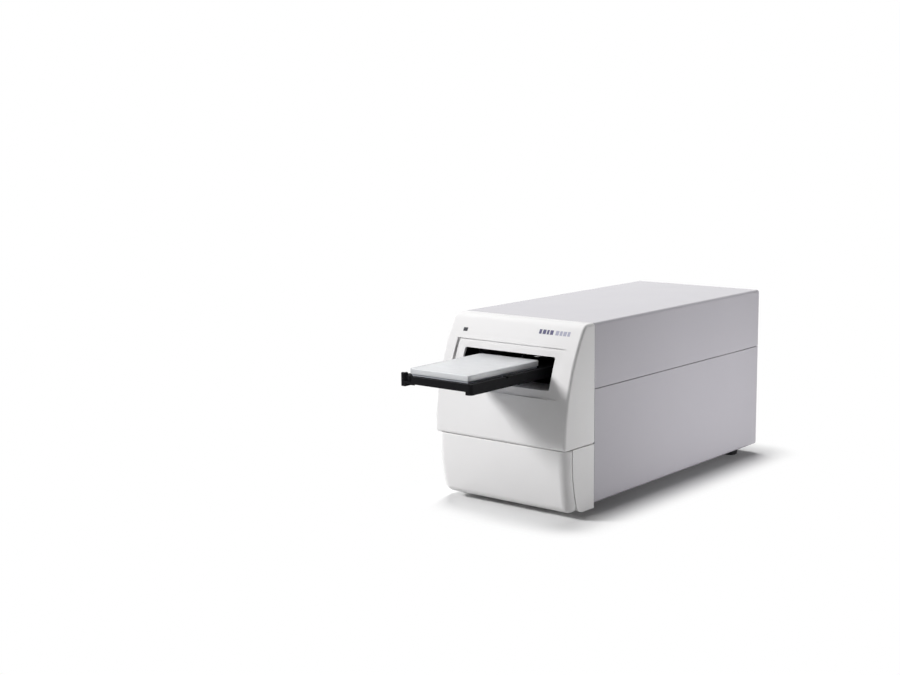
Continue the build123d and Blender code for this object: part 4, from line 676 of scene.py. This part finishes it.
def cut_away(piece: Piece, tool: Piece) -> None:
    """Cuts a tool's closed shape out of a piece, then deletes the tool.

    Args:
        piece: the object that is cut.
        tool: the shape that is taken out of it.
    """
    cut = piece.modifiers.new("cut", "BOOLEAN")
    cut.object = tool
    cut.operation = "DIFFERENCE"
    cut.solver = "EXACT"
    apply_modifiers(piece)
    bpy.data.objects.remove(tool)


def compare_box(piece: Piece, node: str, within_mm: float = 0.3) -> None:
    """Reports a piece whose box isn't its CAD node's.

    Args:
        piece: the hand-made piece.
        node: the node that it stands for.
        within_mm: how far apart their corners may be.
    """
    low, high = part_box(node)
    corners = [vertex.co for vertex in piece.data.vertices]
    for axis in range(3):
        values = [corner[axis] for corner in corners]
        for mine, cad in ((min(values), low[axis]), (max(values), high[axis])):
            if abs(mine - cad) > within_mm * MM:
                LOG.warning("%s: axis %d at %.2f mm, node %s at %.2f mm", piece.name, axis,
                            mine / MM, node, cad / MM)


class Heading(Enum):
    """Which way a screw's head faces, as its turn from straight up."""

    UP = (0.0, 0.0, 0.0)
    DOWN = (180.0, 0.0, 0.0)
    REAR = (-90.0, 0.0, 0.0)


@dataclass
class ButtonScrews:
    """Button-head screws with a hexagon socket, one modelled and the rest copied.

    Args:
        node: the CAD node that they stand for.
        body: the body that they ride on.
        heading: which way the heads face.
        seats: the middle of each head's underside, in millimetres.
        shank_mm: length under the head.
        head_radius_mm: radius of the head.
        head_mm: height of the head.
        dome_mm: how far the head's rim is rounded.
        shank_radius_mm: radius of the shank.
        socket_radius_mm: radius over the socket's corners.
        socket_mm: depth of the socket.
    """

    node: str
    body: str
    heading: Heading
    seats: tuple[Place, ...]
    shank_mm: float
    head_radius_mm: float = 3.0
    head_mm: float = 2.0
    dome_mm: float = 0.9
    shank_radius_mm: float = 1.5
    socket_radius_mm: float = 1.25
    socket_mm: float = 1.2

    def model(self) -> Piece:
        """One screw at the origin, head up.

        Returns:
            The screw.
        """
        top = self.head_mm * MM
        clear_selection()
        bpy.ops.mesh.primitive_cylinder_add(vertices=24, radius=self.head_radius_mm * MM,
                                            depth=top, location=(0, 0, top / 2))
        screw = bpy.context.object
        settle(screw)
        select_edges(screw, lambda a, b: min(a.z, b.z) > top - SNUG)
        bpy.ops.mesh.bevel(offset=self.dome_mm * MM, segments=3, affect="EDGES")
        select_faces(screw, faces_down)
        inward = (self.head_radius_mm - self.shank_radius_mm) * MM
        bpy.ops.mesh.inset(thickness=inward, depth=0.0)
        bpy.ops.mesh.extrude_region_move(
            TRANSFORM_OT_translate={"value": (0, 0, -self.shank_mm * MM)})
        clear_selection()
        bpy.ops.mesh.primitive_cylinder_add(
            vertices=6, radius=self.socket_radius_mm * MM, depth=2 * self.socket_mm * MM,
            location=(0, 0, top))
        cut_away(screw, bpy.context.object)
        return screw

    def build(self) -> None:
        """Models one screw and sets a copy in each seat."""
        pattern = self.model()
        screws = [copy_at(pattern, seat, self.heading.value) for seat in self.seats]
        bpy.data.objects.remove(pattern)
        piece = join_all(screws, f"{self.node}_made")
        smooth(piece, 40.0)
        compare_box(piece, self.node)
        hand_over(piece, self.body, ZINC, (self.node,))


@dataclass
class WireGuard:
    """The fan's finger guard, bent from round wire: rings on two crossing spokes.

    Args:
        middle: the fan's axis at the guard's mid depth, in millimetres.
        wire_mm: wire diameter.
        outer_mm: radius of the outer ring.
        rings: how many rings.
        hub_edge_mm: rounding of the hub's edges.
    """

    middle: Place = (-42.0, 278.4, 92.0)
    wire_mm: float = 1.8
    outer_mm: float = 28.0
    rings: int = 4
    hub_edge_mm: float = 0.4

    def build(self) -> None:
        """Models the rings, spokes and hub and joins them."""
        parts = []
        centre = [v * MM for v in self.middle]
        wire = self.wire_mm * MM
        reach = self.outer_mm * MM + 2 * wire
        lengthwise = (math.radians(90), 0, 0)
        for ring in range(1, self.rings + 1):
            clear_selection()
            bpy.ops.mesh.primitive_torus_add(
                major_radius=self.outer_mm * ring / self.rings * MM, minor_radius=wire / 2,
                major_segments=24 + 12 * ring, minor_segments=10, location=centre,
                rotation=lengthwise)
            parts.append(bpy.context.object)
        for turn in (45, 135):
            clear_selection()
            bpy.ops.mesh.primitive_cylinder_add(
                vertices=10, radius=wire / 2, depth=2 * reach, location=centre,
                rotation=(0, math.radians(turn), 0))
            parts.append(bpy.context.object)
        clear_selection()
        bpy.ops.mesh.primitive_cylinder_add(vertices=24, radius=2 * wire, depth=wire,
                                            location=centre, rotation=lengthwise)
        hub = bpy.context.object
        parts.append(hub)
        for part in parts:
            settle(part)
        soften(hub, self.hub_edge_mm)
        guard = join_all(parts, "fan_guard_made")
        smooth(guard, 40.0)
        compare_box(guard, "fan_guard")
        hand_over(guard, "base", ZINC, ("fan_guard",))


@dataclass
class ClampSpring:
    """The lever's torsion spring, wound from round wire with the turns touching.

    Args:
        axis: the coil's axis at the middle of its lowest wire, in millimetres.
        coil_mm: radius of the coil along the wire's middle.
        wire_mm: radius of the wire.
        turns: how many turns.
    """

    axis: Place = (-47.1, -278.12, 161.05)
    coil_mm: float = 2.2
    wire_mm: float = 0.35
    turns: int = 2

    def build(self) -> None:
        """Winds the wire's section round the axis, closes its ends and puts it in place."""
        clear_selection()
        bpy.ops.mesh.primitive_circle_add(
            vertices=10, radius=self.wire_mm * MM, rotation=(math.radians(90), 0, 0),
            location=(self.coil_mm * MM, 0, 0))
        spring = bpy.context.object
        settle(spring)
        winding = spring.modifiers.new("winding", "SCREW")
        winding.iterations = self.turns
        winding.screw_offset = 2 * self.wire_mm * MM
        winding.steps = winding.render_steps = 28
        winding.use_normal_calculate = True
        apply_modifiers(spring)
        take(spring)
        bpy.ops.object.mode_set(mode="EDIT")
        bpy.ops.mesh.select_all(action="DESELECT")
        bpy.ops.mesh.select_mode(type="EDGE")
        bpy.ops.mesh.select_non_manifold()
        bpy.ops.mesh.edge_face_add()
        bpy.ops.mesh.select_all(action="SELECT")
        bpy.ops.mesh.normals_make_consistent(inside=False)
        clear_selection()
        spring.location = [v * MM for v in self.axis]
        settle(spring)
        spring.name = "clamp_spring_made"
        smooth(spring, 50.0)
        compare_box(spring, "clamp_spring")
        hand_over(spring, "plate_transport", GROUND, ("clamp_spring",))


@dataclass
class InletContacts:
    """The three plated blades that stand in the mains inlet, over the moulding's own posts.

    Args:
        middles: the middle of each blade across and up, in millimetres.
        root_y: where they leave the moulding.
        length: their length.
        thick: their thickness.
        tall: their height.
        nose: the taper at their tips.
    """

    middles: Pairs = ((38.0, 48.0), (45.0, 53.0), (52.0, 48.0))
    root_y: float = 262.6
    length: float = 12.2
    thick: float = 2.2
    tall: float = 4.2
    nose: float = 0.6

    def build(self) -> None:
        """Models one blade and copies it."""
        clear_selection()
        bpy.ops.mesh.primitive_cube_add(size=1.0)
        blade = bpy.context.object
        blade.scale = (self.thick * MM, self.length * MM, self.tall * MM)
        settle(blade)
        tip = self.length / 2 * MM
        select_edges(blade, lambda a, b: min(a.y, b.y) > tip - SNUG)
        bpy.ops.mesh.bevel(offset=self.nose * MM, segments=2, affect="EDGES")
        clear_selection()
        middle_y = self.root_y + self.length / 2
        blades = [copy_at(blade, (x, middle_y, z)) for x, z in self.middles]
        bpy.data.objects.remove(blade)
        piece = join_all(blades, "inlet_contacts")
        smooth(piece, 40.0)
        hand_over(piece, "base", ZINC)


@dataclass
class LiddedPlate:
    """The 96-well plate and its lid, lying in the carrier's nest.

    Args:
        middle_y: the plate's middle along the travel, in millimetres.
        floor_z: the nest's floor.
        width: plate width, the standard footprint.
        length: plate length, the standard footprint.
        skirt: height of the skirt.
        body_height: height of the plate without its lid.
        flange: how far the skirt stands out.
        corner: radius of the upright edges.
        well_radius: radius of a well.
        well_depth: depth of a well.
        pitch: distance between wells.
        across: wells across the travel.
        along: wells along the travel.
        lid_over: how far the lid's wall stands out from the plate's body.
        lid_height: height of the lid's wall.
        lid_top: how far the lid rises over the plate.
        lid_wall: thickness of the lid's wall.
        lid_edge: rounding of the lid's top edge.
        lid_rim: width of the raised rim round the lid's top.
        lid_slope: width of the slope inside that rim.
        lid_sink: how far the lid's top is sunk.
    """

    middle_y: float = -211.22
    floor_z: float = 165.0
    width: float = 85.48
    length: float = 127.76
    skirt: float = 2.5
    body_height: float = 11.0
    flange: float = 1.3
    corner: float = 3.2
    well_radius: float = 3.3
    well_depth: float = 8.0
    pitch: float = 9.0
    across: int = 8
    along: int = 12
    lid_over: float = 1.4
    lid_height: float = 6.2
    lid_top: float = 3.4
    lid_wall: float = 1.2
    lid_edge: float = 1.1
    lid_rim: float = 2.6
    lid_slope: float = 0.5
    lid_sink: float = 0.35

    def slab(self, width: float, length: float, low: float, high: float) -> Piece:
        """A block with rounded upright corners.

        Args:
            width: its size along X, in millimetres.
            length: its size along Y.
            low: its underside.
            high: its top.

        Returns:
            The block.
        """
        clear_selection()
        bpy.ops.mesh.primitive_cube_add(
            size=1.0, location=(0, self.middle_y * MM, (low + high) / 2 * MM))
        block = bpy.context.object
        block.scale = (width * MM, length * MM, (high - low) * MM)
        settle(block)
        select_edges(block, lambda a, b: abs(a.z - b.z) > SNUG)
        bpy.ops.mesh.bevel(offset=self.corner * MM, segments=6, affect="EDGES")
        clear_selection()
        return block

    def plate(self) -> Piece:
        """The plate: skirt, stepped-in body and 96 wells.

        Returns:
            The finished plate.
        """
        plate = self.slab(self.width, self.length, self.floor_z, self.floor_z + self.skirt)
        select_faces(plate, faces_up)
        bpy.ops.mesh.inset(thickness=self.flange * MM, depth=0.0)
        rise = (self.body_height - self.skirt) * MM
        bpy.ops.mesh.extrude_region_move(TRANSFORM_OT_translate={"value": (0, 0, rise)})
        clear_selection()
        pitch = self.pitch * MM
        first = ((1 - self.across) / 2 * pitch,
                 self.middle_y * MM + (1 - self.along) / 2 * pitch,
                 (self.floor_z + self.body_height) * MM)
        bpy.ops.mesh.primitive_cylinder_add(vertices=20, radius=self.well_radius * MM,
                                            depth=2 * self.well_depth * MM, location=first)
        wells = bpy.context.object
        settle(wells)
        for count, step in ((self.across, (pitch, 0, 0)), (self.along, (0, pitch, 0))):
            row = wells.modifiers.new("well_row", "ARRAY")
            row.count = count
            row.use_relative_offset = False
            row.use_constant_offset = True
            row.constant_offset_displace = step
        apply_modifiers(wells)
        cut_away(plate, wells)
        plate.name = "microplate_made"
        return plate

    def on_outline(self, point: Vector, half: tuple[float, float]) -> bool:
        """Whether a point of the lid's top lies on its outer outline.

        Args:
            point: the point.
            half: half the lid's width and length, in metres.

        Returns:
            True on the outline.
        """
        corner = self.corner * MM
        x = abs(point.x) - half[0] + corner
        y = abs(point.y - self.middle_y * MM) - half[1] + corner
        return math.hypot(max(x, 0.0), max(y, 0.0)) > corner - SNUG

    def lid(self) -> Piece:
        """The lid: a shallow tray turned over, with a soft rim and a faintly sunk top.

        Returns:
            The finished lid.
        """
        top = self.floor_z + self.body_height + self.lid_top
        grow = 2 * (self.lid_over - self.flange)
        lid = self.slab(self.width + grow, self.length + grow, top - self.lid_height, top)
        select_faces(lid, faces_down)
        bpy.ops.mesh.inset(thickness=self.lid_wall * MM, depth=0.0)
        rise = (self.lid_height - self.lid_top) * MM
        bpy.ops.mesh.extrude_region_move(TRANSFORM_OT_translate={"value": (0, 0, rise)})
        select_faces(lid, faces_up)
        bpy.ops.mesh.inset(thickness=self.lid_rim * MM, depth=0.0)
        bpy.ops.mesh.inset(thickness=self.lid_slope * MM, depth=-self.lid_sink * MM)
        clear_selection()
        half = ((self.width + grow) / 2 * MM, (self.length + grow) / 2 * MM)
        select_edges(lid, lambda a, b: min(a.z, b.z) > top * MM - SNUG
                     and self.on_outline(a, half) and self.on_outline(b, half))
        bpy.ops.mesh.bevel(offset=self.lid_edge * MM, segments=4, affect="EDGES")
        clear_selection()
        lid.name = "microplate_lid_made"
        return lid

    def build(self) -> None:
        """Makes and dresses the plate and its lid."""
        for piece, node, slot, finish in ((self.plate(), "microplate", "plate_plastic", PLATE),
                                          (self.lid(), "microplate_lid", "lid_plastic", LID)):
            smooth(piece)
            compare_box(piece, node)
            hand_over(piece, "plate_transport", finish, (node,))


@dataclass
class Marking:
    """Plain printed strokes at the top right of the front, where the real one carries its marking.

    Args:
        dark_mm: left ends and widths of the dark strokes.
        pale_mm: left ends and widths of the pale strokes.
        low_mm: lower end.
        high_mm: upper end.
        ahead_mm: where they start from, ahead of the front.
        ink_mm: height of the ink over the plastic.
    """

    dark_mm: Pairs = ((35.5, 3.6), (40.6, 4.4), (46.4, 3.0), (50.8, 4.4))
    pale_mm: Pairs = ((58.6, 4.4), (64.4, 3.4), (69.2, 4.4), (75.0, 3.4))
    low_mm: float = 208.6
    high_mm: float = 213.4
    ahead_mm: float = -180.0
    ink_mm: float = 0.08

    def strokes(self, name: str, places: Pairs, finish: Finish, front: Piece) -> None:
        """One colour's strokes, laid on the front's curve.

        Args:
            name: the piece's name.
            places: left end and width of each stroke, in millimetres.
            finish: their ink.
            front: the moulded front that they lie on.
        """
        made = []
        for left, width in places:
            clear_selection()
            middle = (left + width / 2, self.ahead_mm, (self.low_mm + self.high_mm) / 2)
            bpy.ops.mesh.primitive_grid_add(
                x_subdivisions=4, y_subdivisions=8, size=1.0,
                location=[v * MM for v in middle], rotation=(math.radians(90), 0, 0))
            stroke = bpy.context.object
            stroke.scale = (width * MM, (self.high_mm - self.low_mm) * MM, 1.0)
            settle(stroke)
            made.append(stroke)
        ink = join_all(made, name)
        wrap = ink.modifiers.new("laid_on_front", "SHRINKWRAP")
        wrap.target = front
        wrap.wrap_method = "PROJECT"
        wrap.use_project_y = True
        wrap.use_positive_direction = True
        wrap.use_negative_direction = False
        wrap.offset = self.ink_mm * MM
        apply_modifiers(ink)
        hand_over(ink, "base", finish)

    def build(self) -> None:
        """Makes the dark and the pale strokes."""
        front = bpy.data.objects["front_fascia_soft"]
        self.strokes("marking_dark", self.dark_mm, MARK_DARK, front)
        self.strokes("marking_pale", self.pale_mm, MARK_PALE, front)


@dataclass
class Studio:
    """Pale floor, soft lights and the camera at the photograph's angle.

    Args:
        camera_at: the camera's place in metres.
        lens_mm: focal length on a 36 mm wide sensor.
        yaw: degrees turned from +Y towards -X.
        pitch: degrees looking down.
        roll: degrees of tilt.
        sky: strength of the world's light on the object.
        bounce: the floor's tone in the light that it throws back, sRGB hex.
        floor_size: the floor's width in metres.
        floor_drop: how far it lies under the feet, so that the two don't share a plane.
        footprint_middle: middle of the housing's outline on the floor.
        footprint_half: half its width and depth.
        fade: how far beyond that outline the floor has turned plain white.
    """

    camera_at: Place = (1.0097, -1.4661, 0.4556)
    lens_mm: float = 57.96
    yaw: float = 39.82
    pitch: float = 8.675
    roll: float = -0.53
    sky: float = 0.07
    bounce: str = "CECECE"
    floor_size: float = 40.0
    floor_drop: float = 0.0002
    footprint_middle: Place = (0.0, 0.055, 0.0)
    footprint_half: Place = (0.095, 0.225, 1.0)
    fade: float = 0.06

    def camera(self) -> None:
        """Places the camera."""
        yaw, pitch, roll = (math.radians(v) for v in (self.yaw, self.pitch, self.roll))
        look = Vector((-math.sin(yaw) * math.cos(pitch), math.cos(yaw) * math.cos(pitch),
                       -math.sin(pitch)))
        level = Vector((math.cos(yaw), math.sin(yaw), 0.0))
        above = level.cross(look)
        right = math.cos(roll) * level + math.sin(roll) * above
        up = -math.sin(roll) * level + math.cos(roll) * above
        data = bpy.data.cameras.new("photo_camera")
        data.lens = self.lens_mm
        data.sensor_width = 36.0
        view = bpy.data.objects.new("photo_camera", data)
        turned = Matrix((right, up, -look)).transposed().to_4x4()
        view.matrix_world = Matrix.Translation(self.camera_at) @ turned
        bpy.context.scene.collection.objects.link(view)
        bpy.context.scene.camera = view

    def lamp(self, name: str, place: Place, aim: Place, size: float, power: float) -> None:
        """Adds one round area lamp, seen only by the light that it spreads.

        Args:
            name: the lamp's name.
            place: where it stands, in metres.
            aim: the point that it faces.
            size: its diameter in metres.
            power: its power in watts.
        """
        data = bpy.data.lights.new(name, "AREA")
        data.shape = "DISK"
        data.size = size
        data.energy = power
        lamp = bpy.data.objects.new(name, data)
        lamp.location = place
        lamp.rotation_euler = (Vector(aim) - Vector(place)).to_track_quat("-Z", "Y").to_euler()
        lamp.visible_camera = False
        lamp.visible_glossy = False
        bpy.context.scene.collection.objects.link(lamp)

    def shown(self, tree: Tree) -> Socket:
        """One for what the eye sees directly, in gloss or through glass, and zero for lighting.

        Args:
            tree: the node tree of the world or of the floor.

        Returns:
            The mask's socket.
        """
        path = add_node(tree, "ShaderNodeLightPath")
        clear = add_node(tree, "ShaderNodeMath", {"operation": "MAXIMUM"},
                         {0: path.outputs["Is Camera Ray"], 1: path.outputs["Is Transmission Ray"]})
        both = add_node(tree, "ShaderNodeMath", {"operation": "MAXIMUM"},
                        {0: clear.outputs[0], 1: path.outputs["Is Glossy Ray"]})
        return both.outputs[0]

    def world(self) -> None:
        """White to the camera and in reflections, a soft pale grey for the object's light."""
        world = bpy.data.worlds.new("studio")
        bpy.context.scene.world = world
        world.use_nodes = True
        tree = world.node_tree
        tree.nodes.clear()
        soft = add_node(tree, "ShaderNodeBackground",
                        {"Color": linear("F8F7FA"), "Strength": self.sky})
        white = add_node(tree, "ShaderNodeBackground",
                         {"Color": linear("FFFFFF"), "Strength": 1.0})
        mixed = add_node(tree, "ShaderNodeMixShader", {},
                         {0: self.shown(tree), 1: soft.outputs[0], 2: white.outputs[0]})
        add_node(tree, "ShaderNodeOutputWorld", {}, {"Surface": mixed.outputs[0]})

    def floor(self) -> None:
        """A wide pale floor that fades to white and keeps the object's shadow."""
        clear_selection()
        bpy.ops.mesh.primitive_plane_add(size=self.floor_size,
                                         location=(0.0, 0.0, -self.floor_drop))
        floor = bpy.context.object
        floor.name = "studio_floor"
        paper = bpy.data.materials.new("white_paper_sweep")
        paper.use_nodes = True
        tree = paper.node_tree
        tree.nodes.clear()
        place = add_node(tree, "ShaderNodeTexCoord").outputs["Object"]
        near = add_node(tree, "ShaderNodeVectorMath",
                        {"operation": "SUBTRACT", 1: self.footprint_middle}, {0: place})
        folded = add_node(tree, "ShaderNodeVectorMath", {"operation": "ABSOLUTE"},
                          {0: near.outputs[0]})
        outside = add_node(tree, "ShaderNodeVectorMath",
                           {"operation": "SUBTRACT", 1: self.footprint_half},
                           {0: folded.outputs[0]})
        beyond = add_node(tree, "ShaderNodeVectorMath",
                          {"operation": "MAXIMUM", 1: (0.0, 0.0, 0.0)}, {0: outside.outputs[0]})
        away = add_node(tree, "ShaderNodeVectorMath", {"operation": "LENGTH"},
                        {0: beyond.outputs[0]})
        fade = add_node(tree, "ShaderNodeMapRange",
                        {"interpolation_type": "SMOOTHSTEP", "From Max": self.fade},
                        {"Value": away.outputs["Value"]})
        share = add_node(tree, "ShaderNodeMath", {"operation": "MULTIPLY"},
                         {0: self.shown(tree), 1: fade.outputs["Result"]})
        tone = add_node(tree, "ShaderNodeMix",
                        {"data_type": "RGBA", 6: linear(self.bounce), 7: linear("F6F6F6")},
                        {0: self.shown(tree)})
        matt = add_node(tree, "ShaderNodeBsdfDiffuse", {}, {"Color": tone.outputs[2]})
        white = add_node(tree, "ShaderNodeEmission", {"Color": linear("FFFFFF"), "Strength": 1.0})
        mixed = add_node(tree, "ShaderNodeMixShader", {},
                         {0: share.outputs[0], 1: matt.outputs[0], 2: white.outputs[0]})
        add_node(tree, "ShaderNodeOutputMaterial", {}, {"Surface": mixed.outputs[0]})
        floor.data.materials.append(paper)

    def build(self) -> None:
        """Sets up the whole studio."""
        self.camera()
        self.world()
        self.floor()
        front = (0.0, -0.05, 0.12)
        side = (0.095, 0.15, 0.08)
        self.lamp("key_lamp", (-2.07, -2.03, 1.56), front, size=0.7, power=95.0)
        self.lamp("rear_card", (0.42, 0.26, 0.02), side, size=0.2, power=0.92)
        self.lamp("front_card", (0.42, 0.00, 0.02), side, size=0.2, power=0.50)
        self.lamp("top_lamp", (-0.65, 0.65, 2.50), front, size=1.2, power=40.0)
        bpy.context.scene.view_settings.view_transform = "Standard"


def dress_nodes() -> None:
    """Gives every CAD node the finish of its slot."""
    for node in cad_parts.values():
        place = node.material_slots[0]
        slot = place.material.name.split(".")[0]
        place.material = SLOT_FINISH[slot].make()


HOUSING = SoftenedNodes(Rounding.MOULDED, (
    ("front_fascia", "base", "front_plastic"),
    ("front_lower_panel", "base", "front_plastic"),
    ("rubber_feet", "base", "rubber"),
))
BLACKS = SoftenedNodes(Rounding.MACHINED, (
    ("plate_tunnel", "base", "black_plastic"),
    ("plate_carrier", "plate_transport", "black_plastic"),
    ("clamp_lever", "plate_clamp", "black_plastic"),
    ("power_inlet", "base", "black_gloss"),
    ("fuse_drawer", "base", "black_gloss"),
    ("switch_bezel", "base", "black_gloss"),
    ("switch_rocker", "power_switch", "black_gloss"),
    ("fan_frame", "base", "black_plastic"),
    ("fan_rotor", "fan_rotor", "black_plastic"),
    ("home_sensor", "base", "black_plastic"),
))
COVERS = SoftenedNodes(Rounding.FOLDED, (
    ("upper_cover", "base", "cover_paint"),
    ("lower_cover", "base", "cover_paint"),
))
SHEETS = SoftenedNodes(Rounding.FINE, (
    ("rear_panel", "base", "cover_paint"),
    ("data_connector", "base", "plated_steel"),
    ("status_led", "base", "smoked_lens"),
))
MECHANISM = SoftenedNodes(Rounding.MACHINED, (
    ("transport_deck", "base", "black_aluminium"),
    ("deck_legs", "base", "plated_steel"),
    ("rod_blocks", "base", "black_aluminium"),
    ("carrier_sledge", "plate_transport", "black_aluminium"),
    ("belt_clamp", "plate_transport", "aluminium"),
    ("transport_motor", "base", "black_aluminium"),
    ("lower_optics_bar", "base", "black_aluminium"),
    ("upper_optics_bar", "base", "black_aluminium"),
    ("optics_bridge", "base", "black_aluminium"),
    ("lamp_housing", "base", "black_aluminium"),
    ("filter_bracket", "base", "plated_steel"),
    ("filter_motor", "base", "black_aluminium"),
    ("power_supply", "base", "aluminium"),
))
SCREWS = (
    ButtonScrews("cover_screws", "base", Heading.REAR,
                 tuple((x, 280.0, z) for x in (-89.25, 89.25) for z in (48.0, 124.5, 168.5, 200.5)),
                 shank_mm=6.0),
    ButtonScrews("foot_screws", "base", Heading.DOWN,
                 tuple((x, y, 5.0) for x in (-71.0, 71.0) for y in (-95.0, 250.0)),
                 shank_mm=12.5),
    ButtonScrews("deck_screws", "base", Heading.UP,
                 tuple((x, y, 141.0) for x in (-79.5, 79.5) for y in (-60.0, 116.0)),
                 shank_mm=6.0),
    ButtonScrews("carrier_screws", "plate_transport", Heading.UP,
                 tuple((x, y, 165.5) for x in (-37.0, 37.0) for y in (-96.0, -72.0)),
                 shank_mm=10.0),
)


def main() -> None:
    """Builds the dressed microplate reader piece by piece."""
    dress_nodes()
    for group in (HOUSING, BLACKS, COVERS, SHEETS, MECHANISM, *SCREWS):
        group.build()
    LiddedPlate().build()
    WireGuard().build()
    ClampSpring().build()
    InletContacts().build()
    Marking().build()
    Studio().build()


if __name__ == "__main__":
    main()
